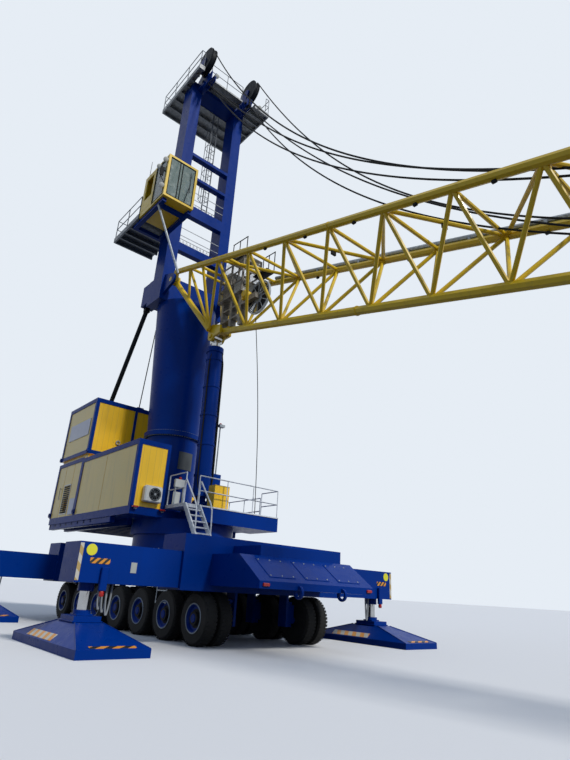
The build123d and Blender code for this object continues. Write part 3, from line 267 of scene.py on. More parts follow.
FINISH = {
    "blue_paint": paint("gloss blue machine paint sprayed on plate", "003084", "002972", dirt="16202E",
                        dirt_share=0.1, coat=0.02, glint=0.05),
    "yellow_paint": paint("gloss yellow machine paint sprayed on plate", "DDBB22", "C9A71C", rough=0.36,
                          dirt_share=0.25, coat=0.15),
    "tyre": rubber("vulcanised tyre rubber", "131416", "3A3936"),
    "glass": tinted_glass("tinted laminated glass"),
    "seat_cloth": woven("woven seat cloth", "17181B", "303236"),
    "galvanised": zinc("hot-dip galvanised steel", "A6ADB3", "878F96", metallic=0.35),
    "chrome": hard_chrome("hard chrome plated rod"),
    "dark_steel": paint("greased dark steel", "171C24", "0E1218", rough=0.55, coat=0.0, glint=0.1),
}
ROPE = strand("greased wire rope", "08090A", "1F2124", 0.02)
HOSE = rubber("extruded hose rubber", "0D0E10", "26262A")
GREY_HOSE = rubber("extruded pale hose sheath", "8A8F93", "70757A")
TAPE = stripes("black and orange warning tape", "141414", "D08A26", 0.042, (1.0, 1.0, -1.0))
EDGE_TAPE = stripes("black and orange edge marking", "141414", "D08A26", 0.09, (1.0, 1.0, -2.0))
FACET_TAPE = stripes("white and orange pad marking", "B9B5AA", "D08A26", 0.09, (1.0, 0.6, 0.0))
PALE_TAPE = stripes("pale and sand corner marking", "B9B5AA", "A99058", 0.09, (0.3, 1.0, 1.0))
DISC = paint("lemon paint on a plate disc", "DCD83A", "CCC832", rough=0.5, coat=0.0, dirt_share=0.1)
RED = paint("signal red lamp lens", "B3160E", "8C1009", rough=0.2)
RAIL = zinc("weathered zinc on the deck rails", "D2D6DA", "B2B8BE", metallic=0.1)
# Painted shade: the cab walkway and the mast head walkway get a darker, bluish zinc, which stands for the shade under
# the decks.
SHADED_WALKWAY_ZINC = zinc("zinc darkened with painted shade for the cab walkway", "4E5865", "39424E", metallic=0.2)
SHADED_HEAD_DECK_ZINC = zinc("zinc darkened with painted shade for the mast head walkway", "84888B", "63686C", metallic=0.2)
CAGE = zinc("rust-bloomed zinc of the service cage", "8A857C", "625D55", metallic=0.2)
WHITE = paint("white powder coat on sheet steel", "D6D8D2", "C2C4BE", rough=0.4)
PALE_SHEET = paint("pale blank sheet stuck on the panel", "A9ADBE", "9A9EB0", rough=0.4, dirt_share=0.1)
GREY_DOOR = paint("grey primer on the inspection door", "43484B", "34393C", rough=0.5)
LAMP_GREY = paint("pale lamp housing", "A9ADAA", "8E928F", rough=0.35)
BLACK = paint("black rubber and powder coat", "0D0E10", "15171A", rough=0.6, coat=0.0, glint=0.1)
GREY = paint("light grey ring of bare rim paint", "7C8894", "66717D", rough=0.5)

slots = {s["node"]: s["material_slot"] for s in frame["record"]["subparts"]}
for name, part in frame["nodes"].items():
    part.data.materials.clear()
    part.data.materials.append(FINISH[slots[name]])
for name, finish in (("rear_stays", FINISH["dark_steel"]), ("deck_rails", RAIL), ("access_stair", RAIL),
                     ("cab_walkway", SHADED_WALKWAY_ZINC), ("head_walkway", SHADED_HEAD_DECK_ZINC), ("service_cage", CAGE)):
    frame["nodes"][name].data.materials[0] = finish
# C6AC50 is the painted sky reflection on the long sides of the houses.
# D0A52A is the painted shade in the panel grooves.
SHEET = profiled_sheet("yellow paint on profiled sheet", "F2C012", "C6AC50", "D0A52A")
for name in ("side_house_right", "side_house_left", "rear_house", "winch_house"):
    frame["nodes"][name].data.materials[0] = SHEET

# ---------------------------------------------------------------- surfaces


def build(name, points, faces, material, body, slot):
    """One mesh object from whole arrays of points (n, 3) and four-cornered faces (m, 4), riding on a body. Points that
    coincide, at a pole or a seam, become one, and edges sharper than 40 degrees stay crisp."""
    mesh = bpy.data.meshes.new(name)
    mesh.vertices.add(len(points))
    mesh.vertices.foreach_set("co", np.ascontiguousarray(points, np.float32).ravel())
    mesh.loops.add(4 * len(faces))
    mesh.loops.foreach_set("vertex_index", np.ascontiguousarray(faces, np.int32).ravel())
    mesh.polygons.add(len(faces))
    mesh.polygons.foreach_set("loop_start", np.arange(0, 4 * len(faces), 4, dtype=np.int32))
    mesh.update(calc_edges=True)
    joined = bmesh.new()
    joined.from_mesh(mesh)
    bmesh.ops.remove_doubles(joined, verts=joined.verts, dist=1e-6)
    joined.to_mesh(mesh)
    joined.free()
    mesh.set_sharp_from_angle(angle=math.radians(40))
    mesh.materials.append(material)
    made = bpy.data.objects.new(name, mesh)
    bpy.context.scene.collection.objects.link(made)
    if body:
        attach(made, body)
    return made


def grid_faces(rows, columns, close):
    """Faces of a grid of rows by columns of points; with close the last column joins the first."""
    r, c = np.meshgrid(np.arange(rows - 1), np.arange(columns if close else columns - 1), indexing="ij")
    d = (c + 1) % columns
    return np.stack([r * columns + c, r * columns + d, (r + 1) * columns + d, (r + 1) * columns + c], -1).reshape(-1, 4)


def sweep(path, radius, sides=8):
    """A round tube along a path. With T(s) the unit tangent, N = T x (0.03, 1, 0.02) made unit and B = T x N, the
    surface is P(s) + r (cos a N + sin a B) for a from 0 to 2 pi, and two end rings of radius 0 close it."""
    path = np.asarray(path, float)
    tangent = np.gradient(path, axis=0)
    tangent /= np.linalg.norm(tangent, axis=1)[:, None]
    across = np.cross(tangent, (0.03, 1.0, 0.02))
    across /= np.linalg.norm(across, axis=1)[:, None]
    third = np.cross(tangent, across)
    angle = np.arange(sides) * 2 * np.pi / sides
    size = np.full(len(path), radius)
    rows = np.concatenate([path[:1], path, path[-1:]])
    size = np.concatenate([[0.0], size, [0.0]])
    across = np.concatenate([across[:1], across, across[-1:]])
    third = np.concatenate([third[:1], third, third[-1:]])
    ring = np.cos(angle)[None, :, None] * across[:, None] + np.sin(angle)[None, :, None] * third[:, None]
    points = rows[:, None] + size[:, None, None] * ring
    return points.reshape(-1, 3), grid_faces(len(rows), sides, True)


def together(shapes):
    """Several (points, faces) shapes as one."""
    points, faces, count = [], [], 0
    for p, f in shapes:
        points.append(p)
        faces.append(f + count)
        count += len(p)
    return np.concatenate(points), np.concatenate(faces)


def moved(shape, place):
    """A shape carried to a place: point + place."""
    return shape[0] + np.asarray(place, float), shape[1]


def spread(shape, places):
    """Copies of one shape at every place: point + place."""
    points, faces = shape
    places = np.asarray(places, float)
    out = points[None] + places[:, None]
    shift = (np.arange(len(places)) * len(points))[:, None, None]
    return out.reshape(-1, 3), (faces[None] + shift).reshape(-1, 4)


def turned(profile, axis, sides):
    """A profile of (distance from the axis, height) carried round an axis: P = h axis + r (cos a U + sin a V)."""
    axis = np.asarray(axis, float)
    u = np.array((axis[1], axis[2], axis[0]))
    u = u - axis * u.dot(axis)
    u /= np.linalg.norm(u)
    v = np.cross(axis, u)
    profile = np.asarray(profile, float)
    angle = np.arange(sides) * 2 * np.pi / sides
    ring = np.cos(angle)[:, None] * u + np.sin(angle)[:, None] * v
    points = profile[:, 1, None, None] * axis + profile[:, 0, None, None] * ring[None]
    return points.reshape(-1, 3), grid_faces(len(profile), sides, True)


def collar(inner, outer, half, axis, sides, crown=0.002):
    """A clamping ring with its outer face crowned in the middle, its section closed back to the first corner."""
    return turned([(inner, -half), (outer, -half), (outer + crown, 0.0), (outer, half), (inner, half), (inner, -half)],
                  axis, sides)


def barrel(profile, axis, sides, middle):
    """A turned shape carried to its middle."""
    return moved(turned(profile, axis, sides), middle)


def panel(width, height, depth, edge=0.15):
    """A chamfered plate facing +X: a section (half width, depth) carried round the four corners, then closed by a
    smaller face, so its edge catches light. Local axes: X depth, Y width, Z height."""
    inset = edge * depth
    rings = [(0.0, 0.0, 0), (width / 2, height / 2, 0), (width / 2, height / 2, depth - inset),
             (width / 2 - inset, height / 2 - inset, depth), (0.0, 0.0, depth)]
    corner = np.array([(-1, -1), (1, -1), (1, 1), (-1, 1)], float)
    points = np.array([[(d, w * a, h * b) for a, b in corner] for w, h, d in rings])
    return points.reshape(-1, 3), grid_faces(len(rings), 4, True)


def facing(shape, normal):
    """Turns a shape whose depth runs along +X so that it runs along another axis, keeping Z up where it can."""
    points, faces = shape
    x = np.asarray(normal, float)
    x /= np.linalg.norm(x)
    up = np.array((0, 0, 1.0)) if abs(x[2]) < 0.99 else np.array((1.0, 0, 0))
    y = np.cross(up, x)
    y /= np.linalg.norm(y)
    z = np.cross(x, y)
    return points @ np.stack([x, y, z]), faces


def hexagon_bolt(size, axis):
    """A bolt head on a washer: a stepped profile turned in six flats."""
    steps = [(0.0, 0), (1.3, 0), (1.3, 0.2), (1.0, 0.2), (1.0, 0.85), (0.82, 1.0), (0.0, 1.0)]
    return turned([(r * size, h * size) for r, h in steps], axis, 6)


# ---------------------------------------------------------------- wheels
TYRE, TYRE_WIDTH, TYRE_PITCH = 0.342, 0.176, 0.121      # radius, width, and middle of a tyre from the pair's middle
TWIN = 0.209                                # outer face of the twin pair from its middle
NUTS, NUT_CIRCLE, BLOCKS = 10, 0.118, 42    # nuts of a rim, radius of their circle, tread blocks round a tyre
RIM_PROFILE = [(0.0, -0.06), (0.19, -0.02), (0.192, 0.004), (0.186, 0.010), (0.172, 0.008), (0.163, 0.0), (0.15, -0.03),
               (0.135, -0.052), (0.1, -0.05), (0.062, -0.03), (0.058, 0.012), (0.05, 0.022), (0.0, 0.02)]
RING_PROFILE = [(0.176, 0.0), (0.19, -0.006), (0.194, 0.0), (0.19, 0.007), (0.179, 0.006), (0.176, 0.0)]


def tread(radius, width, blocks, depth):
    """Road tread: rows of shallow slanting blocks round the tyre. Each block is a chamfered plate at angle a, so its
    points are (y, (R + d) cos a, (R + d) sin a), and the shoulder rows are offset by half a pitch."""
    block = panel(width * 0.26, 2 * np.pi * radius / blocks * 0.72, depth)
    shapes = []
    for row, offset in enumerate((-0.33, 0.0, 0.33)):
        angle = (np.arange(blocks) + 0.5 * (row % 2)) * 2 * np.pi / blocks
        p, f = block
        out = (radius - 0.002 + p[:, 0])[None]
        a = angle[:, None] + p[:, 2][None] / radius
        y = offset * width + p[:, 1][None] + 0.12 * p[:, 2][None] * (1 - row % 2)
        points = np.stack([out * np.cos(a), np.broadcast_to(y, a.shape), out * np.sin(a)], -1)
        shift = (np.arange(blocks) * len(p))[:, None, None]
        shapes.append((points.reshape(-1, 3), (f[None] + shift).reshape(-1, 4)))
    return together(shapes)


def add_wheels():
    """Blue dished rims with a pale worn ring and ten nuts, and road tread on both tyres of each pair."""
    for name in [n for n in frame["nodes"] if n.startswith("wheel_")]:
        low, high = (np.array(c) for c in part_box(name))
        centre, side = (low + high) / 2, (1.0 if low[1] + high[1] > 0 else -1.0)
        face = centre + np.array((0, side * TWIN, 0))
        axis = np.array((0, side, 0))
        points, faces = turned(RIM_PROFILE, axis, 40)
        build(f"rim_{name}", points + face - axis * 0.012, faces, FINISH["blue_paint"], name, "blue_paint")
        build(f"ring_{name}", *barrel(RING_PROFILE, axis, 40, face), GREY, name, "galvanised")
        angle = np.arange(NUTS) * 2 * np.pi / NUTS
        circle = np.stack([np.cos(angle), np.zeros(NUTS), np.sin(angle)], -1)
        places = NUT_CIRCLE * circle + face - axis * 0.064
        points, faces = spread(hexagon_bolt(0.011, axis), places)
        build(f"nuts_{name}", points, faces, GREY, name, "galvanised")
        points, faces = tread(TYRE, TYRE_WIDTH, BLOCKS, 0.004)
        both = together([(points + centre + np.array((0, s * TYRE_PITCH, 0)), faces) for s in (-1, 1)])
        build(f"tread_{name}", both[0], both[1], FINISH["tyre"], name, "tyre")


add_wheels()

# ---------------------------------------------------------------- bolts, mesh and small shapes


def polar_places(count, radius, centre, z):
    """Evenly spaced places on a level circle: (cx + r cos a, cy + r sin a, z)."""
    angle = np.arange(count) * 2 * np.pi / count
    return np.stack([centre[0] + radius * np.cos(angle), centre[1] + radius * np.sin(angle), np.full(count, z)], -1)


def rods(lines, radius, sides=4):
    """Many straight wires at once: each is a prism from A to B with its ring at r (cos a U + sin a V)."""
    lines = np.asarray(lines, float)
    a, b = lines[:, 0], lines[:, 1]
    along = b - a
    along /= np.linalg.norm(along, axis=1)[:, None]
    side = np.where(np.abs(along[:, 2:]) < 0.9, np.array([[0, 0, 1.0]]), np.array([[1.0, 0, 0]]))
    u = np.cross(along, side)
    u /= np.linalg.norm(u, axis=1)[:, None]
    v = np.cross(along, u)
    angle = np.arange(sides) * 2 * np.pi / sides
    ring = radius * (np.cos(angle)[None, :, None] * u[:, None] + np.sin(angle)[None, :, None] * v[:, None])
    points = np.stack([a[:, None] + 0 * ring, a[:, None] + ring, b[:, None] + ring, b[:, None] + 0 * ring], 1)
    shift = (np.arange(len(lines)) * 4 * sides)[:, None, None]
    faces = grid_faces(4, sides, True)
    return points.reshape(-1, 3), (faces[None] + shift).reshape(-1, 4)


def wire_panel(corner, first, second, pitch, radius=0.0022):
    """A welded wire panel: wires every pitch along both edges of a parallelogram C + s E + t F, the second set lying
    on the first, so 1.8 radii further out along the unit normal of E and F."""
    corner, first, second = (np.asarray(v, float) for v in (corner, first, second))
    out = np.cross(first, second)
    out *= 1.8 * radius / np.linalg.norm(out)
    n, m = (max(2, round(float(np.linalg.norm(v)) / pitch)) for v in (first, second))
    s, t = np.linspace(0, 1, n + 1)[:, None], np.linspace(0, 1, m + 1)[:, None]
    across = np.stack([corner + s * first, corner + s * first + second], 1)
    along = np.stack([corner + t * second, corner + t * second + first], 1) + out
    return rods(np.concatenate([across, along]), radius)


def slab(low, high, edge=0.006):
    """A plate or box between two corners with its edges chamfered all round: eight-cornered sections from low to
    high Z, the end ones pulled in by the edge width."""
    low, high = np.asarray(low, float), np.asarray(high, float)
    middle, half = (low + high) / 2, (high - low) / 2
    edge = min(edge, 0.4 * half.min())
    x, y = half[0], half[1]
    ring = np.array([(x - edge, y), (-x + edge, y), (-x, y - edge), (-x, -y + edge),
                     (-x + edge, -y), (x - edge, -y), (x, -y + edge), (x, y - edge)])
    scale = np.array([(x - edge) / x, (y - edge) / y])
    z = half[2]
    rows = [(ring * 0, -z), (ring * scale, -z), (ring, -z + edge), (ring, z - edge), (ring * scale, z), (ring * 0, z)]
    points = np.array([[(px, py, level) for px, py in r] for r, level in rows]) + middle
    return points.reshape(-1, 3), grid_faces(len(rows), 8, True)


def place(name, shapes, material, body, slot):
    """One piece made of several shapes."""
    points, faces = together(shapes)
    return build(name, points, faces, material, body, slot)


# ---------------------------------------------------------------- ropes
TIP = (16.95, 2.08)
ROPES = [  # start x, y, z; tip y; slope and reach of the head end; slope and reach of the tip end
    (-0.114, -0.780, 14.197, -0.143, 2.015, 0.324, 0.322, 0.336),
    (-0.620, -0.599, 13.550, -0.155, 1.365, 0.246, 0.177, 0.600),
    (-0.620, -0.447, 13.543, -0.194, 1.686, 0.360, 0.362, 0.240),
    (-0.122, 0.742, 14.212, 0.152, 1.796, 0.302, 0.182, 0.512),
    (-0.279, 0.588, 13.344, 0.166, 1.469, 0.347, 0.045, 0.404),
    (-0.257, 0.572, 13.434, 0.146, 1.797, 0.263, 0.071, 0.441)]


def rope_path(row, count=90):
    """A slack rope from the mast head to the boom tip, one cubic (1-t)^3 A + 3 (1-t)^2 t C + 3 (1-t) t^2 D + t^3 B,
    whose end slopes give the sag."""
    x, y, z, tip_y, steep, reach, flat, reach_back = row
    a, b = np.array((x, y, z)), np.array((TIP[0], tip_y, TIP[1]))
    run = b[0] - a[0]
    c = a + np.array((reach * run, reach * (tip_y - y), -steep * reach * run))
    d = b - np.array((reach_back * run, reach_back * (tip_y - y), -flat * reach_back * run))
    t = np.linspace(0, 1, count)[:, None] ** 1.3
    return (1 - t) ** 3 * a + 3 * (1 - t) ** 2 * t * c + 3 * (1 - t) * t * t * d + t ** 3 * b


def add_ropes():
    """Six slack ropes to the tip, the yokes and shaft that hold four of them, and the falls from the winches."""
    for number, row in enumerate(ROPES):
        points, faces = sweep(rope_path(row), 0.015, 8)
        rope = build(f"luffing_rope_{number + 1}", points, faces, ROPE, None, "dark_steel")
        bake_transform(rope)
    yokes = []
    for side in (-1, 1):
        yokes.append(slab((-0.87, side * 0.6 - 0.09, 13.36), (-0.55, side * 0.6 + 0.09, 13.48)))
        for y in (0.54, 0.66):
            yokes.append(slab((-0.62, side * y - 0.012, 13.28), (-0.2, side * y + 0.012, 13.56), 0.004))
    place("rope_yokes", yokes, FINISH["blue_paint"], "superstructure", "blue_paint")
    shafts = []
    for x, y, z in ((-0.62, 0, 13.5), (-0.3, 0.6, 13.4)):
        half = 0.7 if y == 0 else 0.1
        pin = [(0.0, -half), (0.032, -half), (0.032, half), (0.0, half)]
        shafts.append(barrel(pin, (0, 1, 0), 14, (x, y, z)))
    for x, y, z in ((-0.62, -0.599, 13.5), (-0.62, -0.447, 13.5), (-0.3, 0.588, 13.4), (-0.3, 0.572, 13.44)):
        groove = [(0.0, -0.02), (0.1, -0.02), (0.1, -0.014), (0.082, 0), (0.1, 0.014), (0.1, 0.02), (0.0, 0.02)]
        shafts.append(barrel(groove, (0, 1, 0), 24, (x, y, z)))
    place("rope_shafts", shafts, FINISH["dark_steel"], "superstructure", "dark_steel")
    falls = [((-2.0, y, 4.46), (-1.68, y, 7.1)) for y in (-0.38, 0.38)]
    place("winch_ropes", [rods(falls, 0.012, 8)], ROPE, "superstructure", "dark_steel")
    guides = [slab((-1.76, y - 0.06, 7.05), (-1.48, y + 0.06, 7.2)) for y in (-0.38, 0.38)]
    guides += [slab((-2.1, y - 0.08, 4.44), (-1.9, y + 0.08, 4.5)) for y in (-0.38, 0.38)]
    place("rope_guides", guides, FINISH["blue_paint"], "superstructure", "blue_paint")


add_ropes()

# ---------------------------------------------------------------- houses, tower and deck


TOWER_X, FLANGE_Z = -0.875, 3.65            # the tower's axis and the middle of its bolted flange


def add_house_details():
    """Cooler, grilles, blank sheets, handles, ribs under the base, flange bolts, the tower's inspection door, rails in
    the mast, deck edges, handrails of the stair, cabinets on the landing and lamps."""
    body = "superstructure"
    place("cooler_case", [slab((0.576, -1.215, 2.04), (0.7, -0.885, 2.32), 0.02)], WHITE, body, "galvanised")
    rings, fan_y, fan_z = [], -1.03, 2.18
    for radius in (0.03, 0.055, 0.08, 0.105):
        r, s = radius - 0.004, radius + 0.004
        section = [(r, 0.0), (s, 0.0), (s, 0.008), (r, 0.008), (r, 0.0)]
        rings.append(barrel(section, (1, 0, 0), 28, (0.704, fan_y, fan_z)))
    spokes = [[(0.71, fan_y + r * np.cos(a), fan_z + r * np.sin(a)) for r in (0.02, 0.11)]
              for a in np.arange(8) * np.pi / 4]
    place("cooler_grille", rings + [rods(spokes, 0.003)], FINISH["dark_steel"], body, "dark_steel")
    disc = barrel([(0.0, 0.0), (0.112, 0.0), (0.112, 0.003), (0.0, 0.003)], (1, 0, 0), 28, (0.7, fan_y, fan_z))
    place("cooler_fan", [disc], BLACK, body, "dark_steel")
    slats, frames = [], []
    for i in range(13):
        z = 2.04 + i * 0.045
        for side in (-1, 1):
            slats.append(slab((-2.83, side * 1.405 - 0.007, z), (-2.5, side * 1.405 + 0.007, z + 0.026), 0.003))
    for side in (-1, 1):
        wall = side * 1.402
        frames += [slab((-2.86, wall - 0.006, z), (-2.47, wall + 0.006, z + 0.02), 0.002) for z in (2.01, 2.62)]
        frames += [slab((x, wall - 0.005, 2.025), (x + 0.018, wall + 0.005, 2.625), 0.002) for x in (-2.859, -2.489)]
    place("grille_slats", slats, BLACK, body, "dark_steel")
    place("grille_frames", frames, WHITE, body, "galvanised")
    place("blank_sign", [slab((-3.18, -1.412, 3.66), (-2.04, -1.405, 4.03), 0.003),
                         slab((-2.35, -1.412, 1.98), (-2.08, -1.405, 2.31), 0.003)], PALE_SHEET, body, "galvanised")
    handles = []
    for x, side in ((-3.05, -1), (-2.2, 1), (-3.05, 1), (-0.66, 1)):
        grip = side * 1.425
        handles.append(((x, grip, 2.35), (x, grip, 2.6)))
        handles += [((x, side * 1.398, z), (x, grip, z)) for z in (2.37, 2.58)]
    place("door_handles", [rods(handles, 0.006, 6)], FINISH["galvanised"], body, "galvanised")
    ribs = [slab((x - 0.03, -1.38, 1.76), (x + 0.03, 1.38, 1.83), 0.005) for x in np.linspace(-3.35, -1.1, 8)]
    ribs += [slab((-3.4, y - 0.05, 1.72), (-0.2, y + 0.05, 1.83), 0.006) for y in (-1.33, -1.0, 1.0, 1.33)]
    place("base_ribs", ribs, FINISH["blue_paint"], body, "blue_paint")
    bolts = [spread(hexagon_bolt(0.014, (0, 0, s)), polar_places(72, 0.585, (TOWER_X, 0.0), FLANGE_Z + s * 0.044))
             for s in (1, -1)]
    place("flange_bolts", bolts, GREY, body, "galvanised")
    angle, level = np.radians(np.linspace(-11, 24, 14)), np.array([2.93, 3.29])
    ring = np.array([(0.545, level[0]), (0.545, level[1]), (0.562, level[1]), (0.562, level[0])])
    size = np.concatenate([[0.0], np.ones(14), [0.0]])[:, None, None]
    ring = ring.mean(0) + (ring - ring.mean(0)) * size
    bow = np.concatenate([angle[:1], angle, angle[-1:]])[:, None]
    door = np.stack([TOWER_X + ring[..., 0] * np.cos(bow), ring[..., 0] * np.sin(bow), ring[..., 1]], -1)
    place("tower_door", [(door.reshape(-1, 3), grid_faces(16, 4, True))], GREY_DOOR, body, "galvanised")
    rails = [((x, -0.56, z), (x, 0.56, z)) for x in (-1.29, -0.88) for z in (8.68, 8.9, 9.88, 10.1)]
    foot = np.linspace(-0.55, 0.45, 11)
    for z in (8.46, 9.66):
        rails += [((-1.27, y + a, z), (-1.27, y + 0.1 - a, z + 0.42)) for y in foot for a in (0.0, 0.1)]
    place("mast_rails", [rods(rails, 0.009, 6)], RAIL, body, "galvanised")
    under = [slab((0.59, y - 0.05, 1.925), (0.66, y + 0.05, 1.955), 0.008) for y in (-1.33, -0.82)]
    place("underside_lamps", under, RED, body, "yellow_paint")
    kerb = [slab((1.118, -0.43, 2.035), (1.132, 1.4, 2.06), 0.003),
            slab((0.6, -0.438, 2.035), (1.12, -0.43, 2.06), 0.003)]
    handrail = [(1.17, 2.03), (1.17, 2.36), (1.175, 2.42), (1.2, 2.44), (1.56, 2.04), (1.62, 1.92), (1.635, 1.75),
                (1.645, 1.46)]
    kerb += [sweep([(x, y, z) for x, z in handrail], 0.013, 8) for y in (-0.735, -0.437)]
    place("deck_edge_and_handrails", kerb, RAIL, body, "galvanised")
    cabinet = [slab((0.596, -0.644, 2.376), (0.664, -0.436, 2.524), 0.008),
               slab((0.6, -0.64, 2.06), (0.63, -0.5, 2.3), 0.006)]
    place("landing_cabinets", cabinet, WHITE, body, "galvanised")
    dome = turned([(0.0, 0.0), (0.022, 0.0), (0.028, 0.02), (0.02, 0.045), (0.0, 0.05)], (0, 0, 1), 16)
    lamps = [moved(dome, (0.63, -0.54, 2.524)), moved(dome, (0.5, 0.28, 3.765))]
    place("warning_lamps", lamps, RED, body, "yellow_paint")


add_house_details()

# ---------------------------------------------------------------- cab


def add_cab_details():
    """Window seals, wiper, mirror, work lamps on the cab and the mast head, the brace under the cab, its desk, roof
    unit and aerials."""
    body = "superstructure"
    low, high, wall = 8.675, 9.69, -1.606
    bars = [slab((0.186, y - 0.008, 8.69), (0.206, y + 0.008, high), 0.003) for y in (-1.30, -1.23)]
    bars += [slab((0.188, -1.54, z), (0.206, -0.91, z + 0.015), 0.003) for z in (low, high)]
    bars += [slab((0.188, y, 8.68), (0.206, y + 0.015, 9.7), 0.003) for y in (-1.545, -0.92)]
    bars += [slab((x, wall, 8.68), (x + 0.015, wall + 0.016, 9.7), 0.003) for x in (-0.385, 0.12)]
    bars += [slab((-0.385, wall, z), (0.135, wall + 0.016, z + 0.015), 0.003) for z in (low, high)]
    place("window_seals", bars, BLACK, body, "dark_steel")
    wiper = [((0.215, -1.1, 8.7), (0.215, -1.0, 9.25)), ((0.213, -1.0, 9.0), (0.213, -1.02, 9.55))]
    place("wiper", [rods(wiper, 0.007, 6)], BLACK, body, "dark_steel")
    arms = [((0.1, -1.6, 9.3), (0.16, -1.72, 9.36)), ((0.1, -1.6, 9.0), (0.16, -1.72, 9.1)),
            ((0.16, -1.72, 9.0), (0.16, -1.72, 9.46))]
    place("mirror_arms", [rods(arms, 0.008, 6)], BLACK, body, "dark_steel")
    place("mirrors", [slab((0.15, -1.75, 9.1), (0.175, -1.66, 9.34), 0.01)], BLACK, body, "dark_steel")
    housing = [(0.0, 0.0), (0.03, 0.0), (0.055, 0.03), (0.06, 0.075), (0.052, 0.08), (0.0, 0.078)]
    on_cab = ((0.1, -1.64, 9.62), (-0.2, -1.64, 9.62), (0.1, -1.64, 8.9))
    on_head = ((-0.25, -0.5, 13.5), (-0.25, 0.95, 13.5))
    lamps = [barrel(housing, (0.8, -0.2, -0.56), 20, spot) for spot in on_cab + on_head]
    place("work_lamps", lamps, WHITE, body, "galvanised")
    stays = [((x, y + 0.1, z + 0.06), (x, y, z)) for x, y, z in on_cab]
    stays += [((-0.25, -0.5, 13.5), (-0.3, -0.5, 13.62)), ((-0.25, 0.95, 13.5), (-0.3, 0.95, 13.58))]
    place("lamp_stays", [rods(stays, 0.01, 6)], BLACK, body, "dark_steel")
    brace = [rods([((-0.1, -1.545, 8.54), (-0.1, -0.83, 7.1))], 0.026, 10)]
    place("cab_brace", brace, FINISH["galvanised"], body, "galvanised")
    desk = [slab((-0.1, -1.5, 8.66), (0.1, -0.95, 9.05), 0.03), slab((-0.02, -1.32, 9.05), (0.02, -1.14, 9.25), 0.01)]
    place("cab_desk", desk, BLACK, body, "dark_steel")
    place("cab_roof_unit", [slab((-0.8, -1.5, 9.76), (-0.3, -1.0, 9.84), 0.03)], WHITE, body, "galvanised")
    aerials = [((-0.9, -1.55, 9.76), (-0.9, -1.55, 10.3)), ((-0.9, -0.95, 9.76), (-0.9, -0.95, 10.1))]
    place("aerials", [rods(aerials, 0.006, 6)], BLACK, body, "dark_steel")


add_cab_details()

# ---------------------------------------------------------------- boom, cage and reel


TOP_FALL, LOW_FALL = 0.29, 0.2527           # fall of the top chords and of the lower chord a metre
LOW_START, LOW_Z = 1.485, 5.505             # where the lower chord begins
REEL_TURNS = 9


def chord_half(x):
    """Half the distance between the top chords: parallel as far as x = 9, then tapered by 0.32 over 7.95."""
    return 0.65 if x < 9 else 0.65 - 0.32 * (x - 9) / 7.95


def chord_z(x):
    """Height of the top chords, which start at 6.6 over x = 2.275."""
    return 6.6 - TOP_FALL * (x - 2.275)


